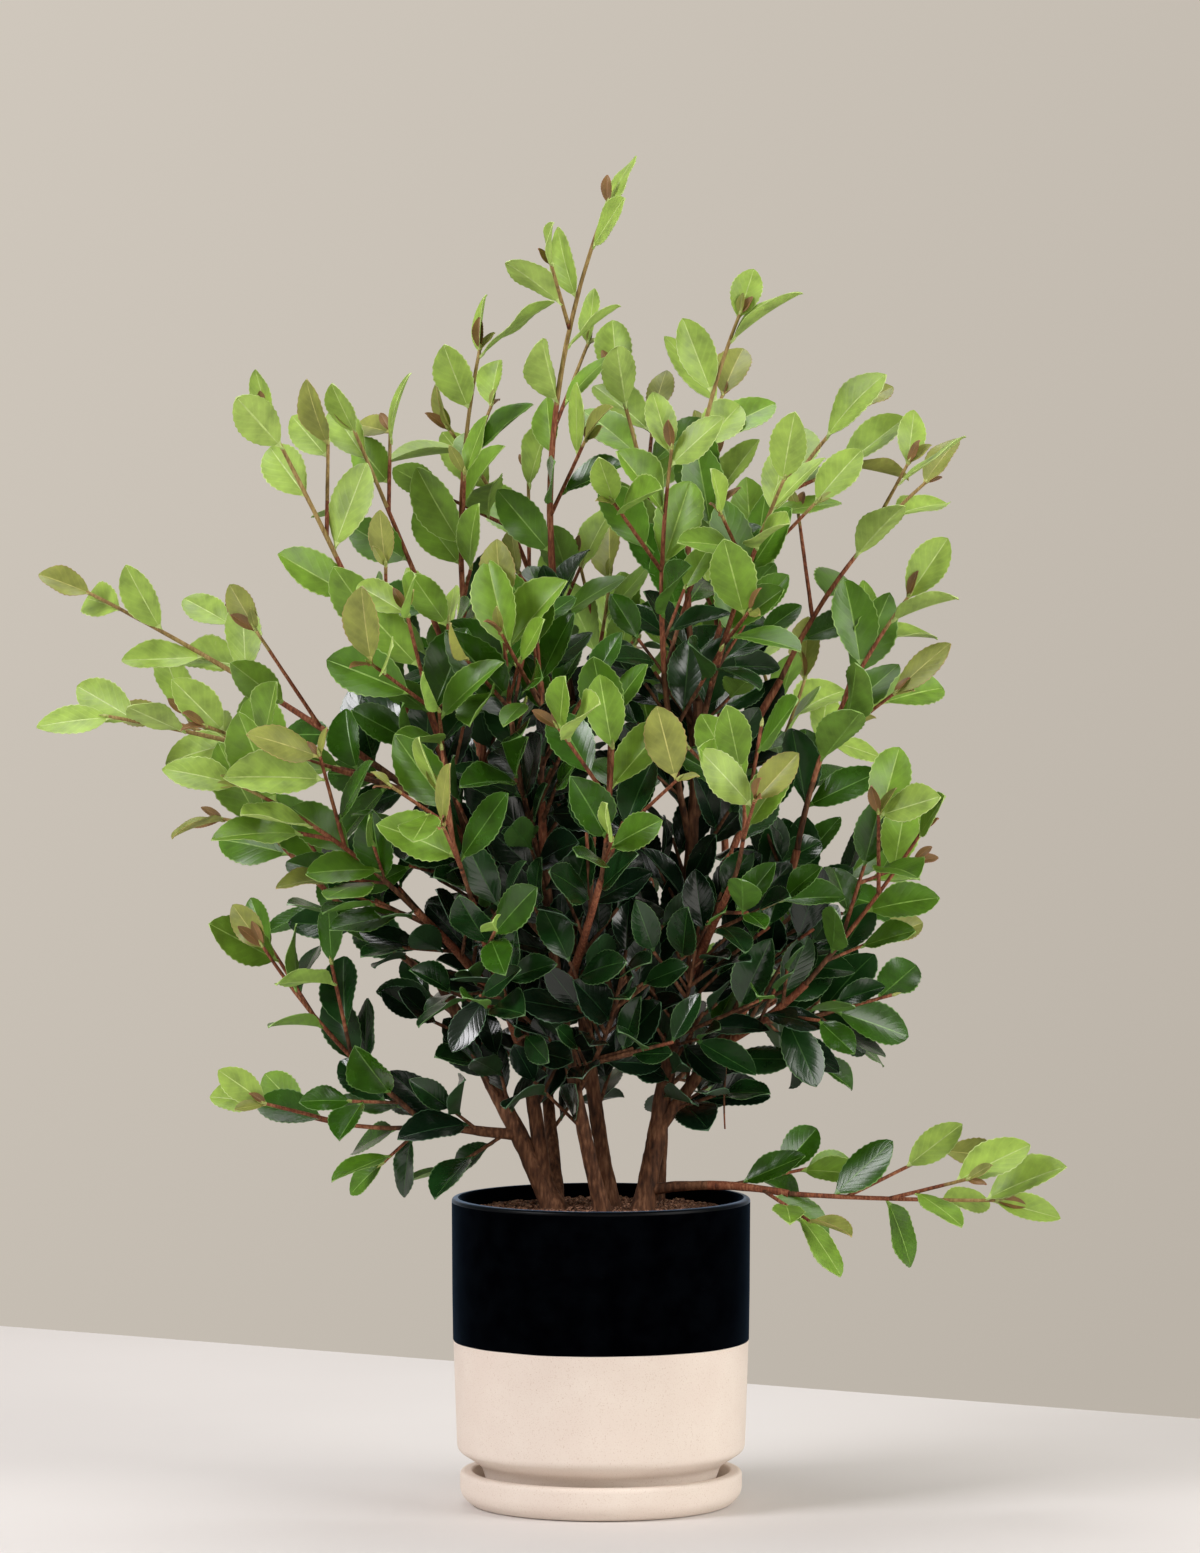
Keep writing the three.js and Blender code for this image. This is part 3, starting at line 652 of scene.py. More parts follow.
print("leaves in all:", sum(len(mass.leaves) for mass in masses + inner))

# %% [markdown]
# ## Bark
# Old camellia bark is brown and matt with fine cracks along the limb; thinner limbs are redder
# and smoother. The cracks are real relief in the rings, drawn from smooth noise that is
# stretched along the limb, and a finer noise in the material adds the grain.

# %% Bark and twig materials
def bark_surface(name, dark, middle, light, crack_mm):
    """Matt bark with fine cracks drawn out along the limb."""
    bark = Surface(name, middle, 0.8, Specular_IOR_Level=0.25)
    drawn_out = bark.add("ShaderNodeMapping", Vector=bark.place(), Scale=(1, 1, 0.22))
    fine = bark.noise(crack_mm, 6.0, where=drawn_out.outputs["Vector"])
    broad = bark.noise(16, 2.0)
    shade = bark.math("ADD", bark.math("MULTIPLY", fine, 0.65), bark.math("MULTIPLY", broad, 0.35))
    bark.colour(bark.ramp(shade, (0.34, dark), (0.5, middle), (0.66, light)))
    bark.rough(fine, 0.68, 0.92)
    bark.bump(fine, 0.35, 0.8)
    return bark.material


old_bark = bark_surface("old_brown_bark", "#2c1a10", "#5b3a26", "#8a6146", 2.0)
red_twig = bark_surface("red_brown_young_bark", "#4a281c", "#7d462f", "#a47152", 1.2)
green_twig = bark_surface("olive_tan_shoot", "#6a5431", "#8d7446", "#a8925e", 1.4)

# %% Rings with relief
BARK_SIDES, BARK_STEP = 22, 2.6
RIDGE_DEPTH = 0.085               # share of the radius
RIDGES_ROUND, RIDGE_RUN = 2.1, 13  # how close the ridges stand, and their length in millimetres
LUMP, CRACK_FINER = 1.3, 2.7
RED_BELOW = 2.75                  # limbs thinner than this have the young red bark
STEM_SINK = 2.5


def bark_rings(limb, sides, step, depth, wander):
    """Rings with ridges that run along the limb."""
    count = max(3, int(limb.length / step))
    rings = []
    for i in range(count + 1):
        share = i / count
        point, _, side, over = limb.frame(share)
        radii = []
        for turn in turns_of(sides):
            sample = Vector((math.cos(turn) * RIDGES_ROUND, math.sin(turn) * RIDGES_ROUND,
                             share * limb.length / RIDGE_RUN + wander))
            lump = noise.noise(sample) * depth * LUMP
            crack = noise.noise(sample * CRACK_FINER) * depth
            radii.append(limb.radius(share) * (1 + lump + crack))
        rings.append(point + np.array(radii)[:, None] * circle(sides, side, over))
    return rings


def closed(rings):
    """The rings with a small ring at each end, which closes the tube to a near point."""
    first, last = (ring.mean(axis=0) + (ring - ring.mean(axis=0)) * 0.04
                   for ring in (rings[0], rings[-1]))
    return [first, *rings, last]


def caps(first, sides, rings):
    """Faces of four corners that close the first and last ring (an even number of sides)."""
    last = first + (rings - 1) * sides
    steps = range(1, sides // 2)
    return np.array(
        [[first + k, first + k - 1, first + sides - k, first + sides - k - 1] for k in steps]
        + [[last + k - 1, last + k, last + sides - k - 1, last + sides - k] for k in steps])


# %% Tubes in one mesh
class Tubes:
    """Closed tubes that are joined into one mesh."""

    def __init__(self, sides):
        self.sides, self.count = sides, 0
        self.points, self.quads, self.slots = [], [], []

    def add(self, rings, slot_at=np.zeros_like, end_slot=None):
        """slot_at gives the slot of each face from its share of the tube's length."""
        faces = ring_quads(len(rings), self.sides, self.count)
        slots = slot_at((faces[:, 0] - self.count) // self.sides / len(rings)).astype(int)
        ends = caps(self.count, self.sides, len(rings))
        self.points.append(np.concatenate(rings))
        self.quads += [faces, ends]
        self.slots += [slots, np.full(len(ends), slots[0] if end_slot is None else end_slot)]
        self.count += len(self.points[-1])

    def mesh(self, name, materials):
        return mesh_object(name, np.concatenate(self.points) * MM, np.concatenate(self.quads),
                           np.concatenate(self.slots), materials)


bark_tubes = Tubes(BARK_SIDES)
for order, (name, limb) in enumerate(limbs.items()):
    rings = bark_rings(limb, BARK_SIDES, BARK_STEP, RIDGE_DEPTH, order * 40.0)
    if name.startswith("stem") and limb.start[2] < SOIL_HEIGHT:
        for ring in rings:
            ring[:, 2] = np.maximum(ring[:, 2], SOIL_HEIGHT - STEM_SINK)
    bark_tubes.add(closed(rings), lambda share: mixed(limb.thick, limb.thin, share) < RED_BELOW,
                   end_slot=0)
stems = bark_tubes.mesh("stems_and_boughs", [old_bark, red_twig])

# %% [markdown]
# ## Twigs and buds
# Shoots of this year are thin, red-brown at the foot and olive towards the tip. A pointed bud
# closes each tip that stands in the light. They are tubes again, joined into one mesh for the
# twigs and one for the buds.

# %% Twigs
TWIG_SIDES, TWIG_STEP, TWIG_RIDGES = 8, 4.5, 0.07
RED_FROM, OLIVE_FROM = 0.62, 1.0  # how young a twig's bark turns red, and then olive
BUDS_FROM = 0.75                  # buds only where light reaches the twig's tip
BUD_LENGTH = 6
BUD_PROFILE = ((-0.3, 0.5), (0.0, 0.95), (0.25, 1.2), (0.55, 0.95), (0.85, 0.4), (1.0, 0.06))


def twig_slots(share):
    """Old bark, red-brown or olive wood, for the twig in hand."""
    young = share * 0.3 + mixed(light_at(twig.start), light_at(twig.tip), share) * 0.7
    return (young > RED_FROM).astype(int) + (young > OLIVE_FROM)


twig_tubes, bud_tubes = Tubes(TWIG_SIDES), Tubes(TWIG_SIDES)
for order, mass in enumerate(masses + inner):
    for number, twig in enumerate(mass.twigs):
        rings = bark_rings(twig, TWIG_SIDES, TWIG_STEP, TWIG_RIDGES, order * 9.0 + number)
        twig_tubes.add(closed(rings), twig_slots)
        if mass in inner or light_at(twig.tip) < BUDS_FROM:
            continue
        tip, along, side, over = twig.frame(1)
        bud_tubes.add([tip + along * BUD_LENGTH * run + circle(TWIG_SIDES, side, over) * wide
                       for run, wide in BUD_PROFILE])
twigs = twig_tubes.mesh("twigs", [old_bark, red_twig, green_twig])

bud_green = Surface("yellow_green_bud_scales", "#9aa653", 0.45)
bud_green.two_tones(1.5, 3.0, (0.35, "#7e8a3c"), (0.65, "#b5b96c"))
bud_green.bump(bud_green.noise(0.8), 0.1)
buds = bud_tubes.mesh("buds", [bud_green.material])

# %% [markdown]
# ## Leaves
# A camellia leaf is thick and leathery: an ellipse with a blunt point, fine teeth, a pale midrib
# in a shallow fold and a pale edge. Old leaves in the shade are dark and glossy, leaves of this
# year are yellow-green and softer. One template grid is bent onto every leaf, and the leaves are
# dealt into a few joined meshes by age and by painted shade, each with its own plain base colour:
# leaves deep in the crown and away from the window side get the darker colours.

# %% Leaf materials
VEINS, VEIN_SLANT, VEIN_SHARPNESS = 52.0, 0.3, 6.0   # 52 radians are 8 side veins on each half
DARKER, LIGHTER = 0.86, 1.12


def leaf_surface(name, blade, rough, gloss, glow):
    """A leathery blade: gloss, side veins as relief from the blade's own map, faint mottling."""
    leaf = Surface(name, blade, rough, IOR=1.5, Specular_IOR_Level=gloss, Subsurface_Weight=glow,
                   Subsurface_Scale=0.0012)
    leaf.shader.inputs["Subsurface Radius"].default_value = (0.5, 1.0, 0.2)
    uv = leaf.add("ShaderNodeUVMap", {"uv_map": "blade"}).outputs["UV"]
    parts = leaf.add("ShaderNodeSeparateXYZ", Vector=uv)
    aside = leaf.math("ABSOLUTE", parts.outputs["Y"])
    slanted = leaf.math("SUBTRACT", parts.outputs["X"], leaf.math("MULTIPLY", aside, VEIN_SLANT))
    ripple = leaf.math("SINE", leaf.math("MULTIPLY", slanted, VEINS))
    crest = leaf.math("ADD", leaf.math("MULTIPLY", ripple, 0.5), 0.5)
    vein = leaf.math("POWER", crest, VEIN_SHARPNESS)
    mottle = leaf.noise(11, 3.0)
    tint = leaf.math("ADD", leaf.math("MULTIPLY", mottle, 0.85), leaf.math("MULTIPLY", vein, 0.05))
    leaf.colour(leaf.ramp(tint, (0.25, shaded(blade, DARKER)), (0.42, blade),
                          (0.62, shaded(blade, LIGHTER))))
    leaf.rough(mottle, rough - 0.07, rough + 0.1)
    fine = leaf.bump(leaf.noise(1.2, 2.0), 0.02, 0.4)
    leaf.bump(leaf.math("MULTIPLY", vein, -1.0), 0.09, 0.4, under=fine)
    return leaf.material


def shaded(hex_colour, factor):
    channels = [min(255, int(int(hex_colour[i:i + 2], 16) * factor)) for i in (1, 3, 5)]
    return "#%02x%02x%02x" % tuple(channels)


def plain_green(name, colour, rough):
    part = Surface(name, colour, rough, IOR=1.5)
    part.two_tones(4, 3.0, (0.3, shaded(colour, DARKER)), (0.7, shaded(colour, LIGHTER)))
    part.bump(part.noise(0.8), 0.04, 0.5)
    return part.material


# age and painted shade (the darker rows go deeper in the crown), blade, midrib, edge,
# underside, roughness, gloss, glow
LEAF_AGES_AND_SHADES = [
    ("old_shade", "#0b1d0f", "#1f3d20", "#47684a", "#1f3a1c", 0.18, 0.5, 0.0),
    ("old", "#173614", "#345a26", "#547647", "#34561f", 0.2, 0.5, 0.0),
    ("mature", "#30570f", "#5f8a36", "#668c46", "#4f7628", 0.24, 0.42, 0.02),
    ("grown", "#4d741b", "#7da247", "#84a652", "#6c8f38", 0.32, 0.34, 0.05),
    ("young", "#70932f", "#9dbb5c", "#a0bb66", "#84a448", 0.38, 0.34, 0.05),
    ("newest", "#8faa49", "#b2c776", "#b0c476", "#9ab25a", 0.42, 0.34, 0.05),
    ("red_bronze_tips", "#7d5f38", "#a3754d", "#8e5a40", "#8a6c45", 0.4, 0.36, 0.04),
    ("bronze_tips", "#868c42", "#aaa85e", "#9a8a50", "#8f9048", 0.42, 0.34, 0.06),
]
UNDER_ROUGH, UNDER_GLOSS = 0.58, 0.25
age_and_shade_materials = [[leaf_surface("leaf_blade_" + age_and_shade, blade, rough, gloss, glow),
                  plain_green("leaf_midrib_" + age_and_shade, rib, rough + 0.1),
                  plain_green("leaf_edge_" + age_and_shade, edge, rough + 0.1),
                  leaf_surface("leaf_underside_" + age_and_shade, below, UNDER_ROUGH, UNDER_GLOSS, glow)]
                 for age_and_shade, blade, rib, edge, below, rough, gloss, glow in LEAF_AGES_AND_SHADES]

# %% The template of a leaf
STATIONS = 22
TOP_COLUMNS = np.array((-1, -0.96, -0.5, -0.032, 0.032, 0.5, 0.96, 1))
UNDER_COLUMNS = np.array((-1, -0.5, -0.045, 0.045, 0.5, 1))
PETIOLE = 0.075                   # share of the length that is leaf stalk
STALK_HALF = 0.75                 # mm
BLADE_HALF, WIDTH_SPREAD = 0.256, (0.9, 1.08)    # half width for each mm of length
TOOTH, TEETH_FROM = 0.06, 0.12
FOOT_ROUND, TIP_BLUNT, STATIONS_CLOSER = 0.8, 0.72, 0.93
FOLD, DROOP, CURL = (0.12, 0.6), (-0.04, 0.2), (-0.12, 0.25)
WAVE, TWIST = (0.0, 0.14), (-0.45, 0.45)
u = np.linspace(0, 1, STATIONS + 1) ** STATIONS_CLOSER
blade_run = np.clip((u - PETIOLE) / (1 - PETIOLE), 0, 1)
outline = blade_run ** FOOT_ROUND * (1 - blade_run) ** TIP_BLUNT
outline /= outline.max()
toothed = 1 + TOOTH * ((np.arange(STATIONS + 1) % 2) - 0.5) * (blade_run > TEETH_FROM)

wide, narrow = len(TOP_COLUMNS), len(UNDER_COLUMNS)
below = (STATIONS + 1) * wide
corners = below + (STATIONS + 1) * narrow
grid_quads, grid_slots = [], []


def top(i, j):
    return i * wide + j


def low(i, j):
    return below + i * narrow + j


for i in range(STATIONS):
    for j in range(wide - 1):
        grid_quads.append([top(i, j), top(i + 1, j), top(i + 1, j + 1), top(i, j + 1)])
        grid_slots.append(1 if j == 3 or u[i] < PETIOLE else (2 if j in (0, wide - 2) else 0))
    for j in range(narrow - 1):
        grid_quads.append([low(i, j + 1), low(i + 1, j + 1), low(i + 1, j), low(i, j)])
        grid_slots.append(1 if j == 2 or u[i] < PETIOLE else 3)
    grid_quads.append([top(i, 0), low(i, 0), low(i + 1, 0), top(i + 1, 0)])
    grid_quads.append([top(i + 1, wide - 1), low(i + 1, narrow - 1), low(i, narrow - 1),
                       top(i, wide - 1)])
    grid_slots += [2, 2]
for i, order in ((0, 1), (STATIONS, -1)):
    for j, k in ((0, 0), (4, 2)):
        grid_quads.append([top(i, j), top(i, j + 3), low(i, k + 2), low(i, k)][::order])
        grid_slots.append(1)
grid_quads, grid_slots = np.array(grid_quads), np.array(grid_slots)
grid_uv = np.concatenate([
    np.stack(np.broadcast_arrays(u[:, None], columns[None]), -1).reshape(-1, 2)
    for columns in (TOP_COLUMNS, UNDER_COLUMNS)])
print("faces of one leaf:", len(grid_quads))


# %% Bending the template onto a leaf
def leaf_points(blade, draw):
    """The template bent onto one leaf."""
    length = blade.length
    half = outline * length * BLADE_HALF * blade.narrow * mixed(*WIDTH_SPREAD, draw())
    half = np.maximum(half, 0.3)
    half = np.where(blade_run <= 0.02, STALK_HALF * blade.narrow, half)[:, None]
    fold, droop, curl, wave = [mixed(*limits, draw()) for limits in (FOLD, DROOP, CURL, WAVE)]
    phase = 6.28 * draw()
    twist = mixed(*TWIST, draw())
    run_share = u[:, None]

    def surface(columns, thick):
        side = columns[None] * half * np.where(abs(columns) > 0.9, toothed[:, None], 1)
        lift = (-droop * length * run_share ** 2 + fold * half * abs(columns) ** 1.2
                - curl * half * columns ** 2
                + wave * half * np.sin(run_share * 9 + phase) * columns ** 2)
        above = lift + side * np.sin(twist * run_share) - thick
        across = side * np.cos(twist * run_share)
        run = run_share * length - LEAF_SINK + 0 * side
        return (blade.root + run[..., None] * blade.along + across[..., None] * blade.across
                + above[..., None] * blade.face).reshape(-1, 3)

    keel = np.where(abs(UNDER_COLUMNS) < 0.1, 0.6, 0.1) * (1 - 0.6 * run_share)
    return np.concatenate([surface(TOP_COLUMNS, 0),
                           surface(UNDER_COLUMNS, np.where(half < 0.8, 1.1, 0.3) + keel)])


# %% Dealing the leaves out by age and painted shade
# The colour groups hold painted shade: leaves deep in the crown, away from the window side and on
# inner spurs in the crown are dealt darker colours, and inner spurs below the crown get lighter
# ones.
AGE_AND_SHADE_STEPS, AGE_AND_SHADE_SPREAD = (0.54, 0.75, 0.92, 1.05, 1.23), (-0.13, 0.13)
WINDOW_SIDE, SHOOT_END, DEEPER = 0.1, 0.2, 0.1   # what the window, a tip and the depth add
BRONZE_FROM, BRONZE_SHARE = 1.08, 0.4
TIP_LEAF, TIP_NARROW = (11, 21), 0.72            # the unfolding leaves at a shoot's end, mm
SECOND_TIP_LEAF, YELLOW_BRONZE = 0.6, 0.45       # how many shoots have two, and their colour
TIP_LEAVES_FROM = BUDS_FROM + 0.2
PIECE_LEAVES = 280
draw = seeded(900)
dealt = [[] for _ in LEAF_AGES_AND_SHADES]
for mass in masses + inner:
    for blade in mass.leaves:
        middle = (blade.root + blade.tip) / 2
        # Painted shade: the group follows depth in the crown, the window side and inner spurs,
        # besides a shoot's end, where leaves are younger.
        light = light_at(middle) + SHOOT_END * (blade.share - 0.6)
        light -= WINDOW_SIDE * middle[1] / CORE_REACH[1]
        light += mixed(*AGE_AND_SHADE_SPREAD, draw())
        if mass in inner:
            light -= DEEPER if middle[2] > OPEN_FOOT else -DEEPER
        age_and_shade = sum(light > step for step in AGE_AND_SHADE_STEPS)
        if blade.share > 0.98 and light > BRONZE_FROM and draw() < BRONZE_SHARE:
            age_and_shade = len(LEAF_AGES_AND_SHADES) - 1
        dealt[age_and_shade].append(blade)
    for twig in mass.twigs:
        if mass in inner or light_at(twig.tip) < TIP_LEAVES_FROM:
            continue
        for side in (-1, 1)[:1 + (draw() < SECOND_TIP_LEAF)]:
            lean = mixed(0.15, 0.5, draw())
            place = twig.frame(1)
            along = place[1] * math.cos(lean) + outward(place, math.pi * side / 2) * math.sin(lean)
            small = Blade(place[0], along, UP + TO_WINDOW * 2, mixed(*TIP_LEAF, draw()), 1)
            small.narrow = TIP_NARROW
            dealt[len(LEAF_AGES_AND_SHADES) - 2 + (draw() < YELLOW_BRONZE)].append(small)

leaf_objects = []
for (age_and_shade, *_), blades, surfaces in zip(LEAF_AGES_AND_SHADES, dealt, age_and_shade_materials):
    for part, first in enumerate(range(0, len(blades), PIECE_LEAVES)):
        some = blades[first:first + PIECE_LEAVES]
        points = np.concatenate([leaf_points(blade, draw) for blade in some])
        quads = np.concatenate([grid_quads + corners * i for i in range(len(some))])
        leaf_objects.append(mesh_object(
            f"leaves_{age_and_shade}_{part + 1}", points * MM, quads, np.tile(grid_slots, len(some)),
            surfaces, uv=np.tile(grid_uv, (len(some), 1)), sharp=50))

# %% [markdown]
# ## Pot and saucer
# Stoneware, turned on a wheel: a straight cylinder with a rounded shoulder at its foot, dipped in
# a black satin glaze down to half its height and left bare below. Both are profiles turned round
# the axis. Each corner of a profile is rounded by its own radius, and the glaze stands a hair
# proud of the clay, with an edge that wanders a little, as a dipped edge does.

# %% Stoneware materials
def satin_glaze(name, gloss, sheen):
    """Nearly black, with a blue sheen where it is seen at a flat angle."""
    made = Surface(name, "#020304", 0.36, Specular_IOR_Level=gloss, Sheen_Weight=sheen,
                   Sheen_Roughness=0.3)
    made.shader.inputs["Sheen Tint"].default_value = linear("#86abd8")
    mottle = made.noise(14, 3.0)
    made.colour(made.ramp(mottle, (0.35, "#010102"), (0.65, "#030406")))
    made.rough(mottle, 0.31, 0.42)
    made.bump(made.noise(1.6, 2.0), 0.02, 0.6)
    return made.material


glaze = satin_glaze("black_satin_glaze", 0.0, 0.17)
glaze_lip = satin_glaze("black_glaze_on_the_lip", 0.08, 0.8)

clay = Surface("bare_buff_stoneware", "#e6d9cd", 0.82, IOR=1.45)
speckle = clay.noise(0.7, 2.0)
cloud = clay.noise(22, 4.0)
body_tint = clay.ramp(cloud, (0.3, "#e4d6ca"), (0.55, "#e6d9cd"), (0.75, "#e8dcd0"))
grains = clay.ramp(speckle, (0.3, "#c3a78f"), (0.4, "#ffffff"))
speckled = clay.add("ShaderNodeMix", {"data_type": "RGBA", "blend_type": "MULTIPLY"},
                    Factor=0.4, _6=body_tint, _7=grains)
clay.colour(speckled.outputs[2])
clay.rough(speckle, 0.74, 0.9)
clay.bump(clay.noise(0.9, 4.0), 0.06, 0.7)


# %% Turned profiles
TURN_SIDES = 160
WANDER, WANDER_REACH, WANDER_ROUND = 0.3, 1.5, 3


def rounded(profile, steps=6):
    """Points (radius, height, rounding, slot): each corner is replaced by a short arc."""
    result = []
    for i, (radius, height, rounding, slot) in enumerate(profile):
        here = np.array((radius, height), float)
        if rounding == 0:
            result.append((radius, height, slot))
            continue
        before = np.array(profile[i - 1][:2], float)
        after = np.array(profile[i + 1][:2], float)
        first = here + unit(before - here) * rounding
        last = here + unit(after - here) * rounding
        for k in range(steps + 1):
            t = k / steps
            spot = (1 - t) ** 2 * first + 2 * t * (1 - t) * here + t * t * last
            result.append((spot[0], spot[1], slot))
    return result


def turned(name, profile, materials, wander=None):
    """A profile turned round the axis, closed on the axis by a small disc at both ends."""
    rings = []
    for radius, height, _ in profile:
        heights = np.full(TURN_SIDES, float(height))
        if wander and abs(height - wander) < WANDER_REACH:
            heights += [WANDER * noise.noise(Vector((WANDER_ROUND * math.cos(t),
                                                     WANDER_ROUND * math.sin(t), 0.5)))
                        for t in turns_of(TURN_SIDES)]
        rings.append(level_ring(TURN_SIDES, radius, heights))
    faces = ring_quads(len(rings), TURN_SIDES)
    per_ring = np.array([entry[2] for entry in profile[:-1]])
    ends = caps(0, TURN_SIDES, len(rings))
    slots = np.concatenate([np.repeat(per_ring, TURN_SIDES), np.full(len(ends), per_ring[-1])])
    slots[-len(ends):-len(ends) // 2] = per_ring[0]
    return mesh_object(name, np.concatenate(rings) * MM, np.concatenate([faces, ends]), slots,
                       materials, sharp=60)


# %% The saucer's and the pot's profiles
SAUCER_RADIUS, SAUCER_HEIGHT, SAUCER_FLOOR, SAUCER_WALL = 85, 20.5, 8, 8
BODY_LOW_RADIUS, BODY_LOW_HEIGHT, FOOT_RADIUS = 87, 34, 67
POT_WALL, POT_FLOOR = 6, 8
GLAZE_LINE, GLAZE_THICKNESS = 99.5, 0.28
foot = SAUCER_FLOOR + GAP
saucer_inner = SAUCER_RADIUS - SAUCER_WALL
saucer = turned("saucer_dish", rounded([
    (0.5, 0.0, 0, 0),
    (SAUCER_RADIUS - 7, 0.0, 3, 0),
    (SAUCER_RADIUS, 6.5, 5, 0),
    (SAUCER_RADIUS, SAUCER_HEIGHT, 3.2, 0),
    (saucer_inner, SAUCER_HEIGHT, 2.2, 0),
    (saucer_inner - 2, SAUCER_FLOOR, 3, 0),
    (0.5, SAUCER_FLOOR, 0, 0),
]), [clay.material])

inner_radius = RIM_RADIUS - POT_WALL
pot = turned("pot_body", rounded([
    (0.5, foot, 0, 0),
    (FOOT_RADIUS, foot, 1.2, 0),
    (FOOT_RADIUS + 3, BODY_LOW_HEIGHT - 16.8, 3, 0),
    (FOOT_RADIUS + 5.2, BODY_LOW_HEIGHT - 10.4, 3, 0),
    (BODY_LOW_RADIUS - 7.6, BODY_LOW_HEIGHT - 5.6, 3, 0),
    (BODY_LOW_RADIUS - 0.4, BODY_LOW_HEIGHT - 0.9, 3.4, 0),
    (BODY_LOW_RADIUS, BODY_LOW_HEIGHT + 8, 2, 0),
    (RIM_RADIUS - 0.6, GLAZE_LINE - 0.25, 0, 1),
    (RIM_RADIUS - 0.6 + GLAZE_THICKNESS, GLAZE_LINE + 0.35, 0, 1),
    (RIM_RADIUS - 0.2 + GLAZE_THICKNESS, GLAZE_LINE + 30, 0, 1),
    (RIM_RADIUS + 0.4, RIM_HEIGHT, 2.4, 2),
    (inner_radius + 0.6, RIM_HEIGHT, 2.0, 1),
    (inner_radius - 2.4, BODY_LOW_HEIGHT + 8.5, 6, 1),
    (FOOT_RADIUS - 4, foot + POT_FLOOR + 8, 3, 1),
    (FOOT_RADIUS - 8, foot + POT_FLOOR, 0, 1),
    (0.5, foot + POT_FLOOR, 0, 1),
]), [clay.material, glaze, glaze_lip], wander=GLAZE_LINE)

# %% [markdown]
# ## Potting mix
# Crumbs of composted bark fill the pot to just under the rim. The soil is a shallow mound with
# small lumps, and loose crumbs lie on it. Placing them by hand would take thousands of lines, so
# Geometry Nodes scatter them: points on the soil, a crumb on each, turned and scaled at random.

# %% Soil
mix = Surface("moist_bark_mix", "#6b4430", 0.9)
mix_fine, mix_broad = mix.noise(1.6, 6.0), mix.noise(9, 3.0)
mix.colour(mix.ramp(mix_fine, (0.36, "#2c190f"), (0.5, "#6e4731"), (0.63, "#b08468")))
mix.rough(mix_broad, 0.8, 0.97)
mix.bump(mix_fine, 0.8, 0.9)

SOIL_RINGS, SOIL_SIDES = 26, 96
SOIL_RADIUS = inner_radius - 1.2
SOIL_BELOW = 90                   # the mix reaches down to here
SOIL_DROP, EDGE_FROM, EDGE_WIDTH = 0.6, 62, 20


def lumps(radius, turn, level, height, width):
    at = Vector((radius * math.cos(turn), radius * math.sin(turn), level))
    return height * noise.noise(at / width)


rings = [level_ring(SOIL_SIDES, 0.5, SOIL_BELOW),
         level_ring(SOIL_SIDES, SOIL_RADIUS - 3, SOIL_BELOW),
         level_ring(SOIL_SIDES, SOIL_RADIUS, SOIL_HEIGHT - 4)]
below_edge = len(rings)
for i in range(SOIL_RINGS):
    radius = mixed(SOIL_RADIUS - 0.4, 0.5, (i / (SOIL_RINGS - 1)))
    edge = max(0.0, (radius - EDGE_FROM) / EDGE_WIDTH)
    rings.append(level_ring(SOIL_SIDES, radius, [
        SOIL_HEIGHT - SOIL_DROP - SOIL_DROP * edge ** 2 + lumps(radius, t, 0, 1.3, 9)
        + lumps(radius, t, 9, 0.7, 3) for t in turns_of(SOIL_SIDES)]))
soil_tube = Tubes(SOIL_SIDES)
soil_tube.add(rings)
soil = soil_tube.mesh("potting_mix_top", [mix.material])


# %% One crumb
def crumb_mesh():
    """An angular chip of bark: a small lump with its corners moved."""
    corners = np.array([(x, y, z) for x in (-1, 1) for y in (-1, 1) for z in (-1, 1)], float)
    draw_corner = seeded(77)
    corners *= np.array((1.0, 0.62, 0.42))
    corners += np.array([[mixed(-0.3, 0.3, draw_corner()) for _ in range(3)] for _ in corners])
    faces = [(0, 1, 3, 2), (4, 6, 7, 5), (0, 4, 5, 1), (2, 3, 7, 6), (0, 2, 6, 4), (1, 5, 7, 3)]
    return mesh_object("crumb_pattern", corners * MM, faces, [0] * 6, [mix.material], sharp=20)


# %% The tree of nodes that scatters them
CRUMB_TURN, CRUMB_SCALE = (0.7, 0.7, 6.28), (0.6, 2.7)
CRUMBS_PER_M2, CRUMB_SEED = 110000.0, 5


def crumb_nodes(chip):
    tree = bpy.data.node_groups.new("scatter_crumbs", "GeometryNodeTree")
    named = {name: tree.interface.new_socket(name, in_out="INPUT", socket_type=kind).identifier
             for name, kind in (("Geometry", "NodeSocketGeometry"),
                                ("Density", "NodeSocketFloat"), ("Seed", "NodeSocketInt"))}
    tree.interface.new_socket("Geometry", in_out="OUTPUT", socket_type="NodeSocketGeometry")
    start = add_node(tree, "NodeGroupInput").outputs
    scatter = add_node(tree, "GeometryNodeDistributePointsOnFaces", Mesh=start["Geometry"],
                       Density=start["Density"], Seed=start["Seed"])
    turn = add_node(tree, "FunctionNodeRandomValue", {"data_type": "FLOAT_VECTOR"},
                    Max=CRUMB_TURN, Seed=start["Seed"])
    size = add_node(tree, "FunctionNodeRandomValue", {"data_type": "FLOAT"},
                    _2=CRUMB_SCALE[0], _3=CRUMB_SCALE[1], Seed=start["Seed"])
    pattern = add_node(tree, "GeometryNodeObjectInfo", Object=chip)
    laid = add_node(tree, "GeometryNodeInstanceOnPoints", Points=scatter.outputs["Points"],
                    Instance=pattern.outputs["Geometry"], Rotation=turn.outputs["Value"],
                    Scale=size.outputs[1])
    real = add_node(tree, "GeometryNodeRealizeInstances", Geometry=laid.outputs["Instances"])
    painted = add_node(tree, "GeometryNodeSetMaterial", Geometry=real.outputs["Geometry"],
                       Material=mix.material)
    add_node(tree, "NodeGroupOutput", Geometry=painted.outputs["Geometry"])
    return tree, named


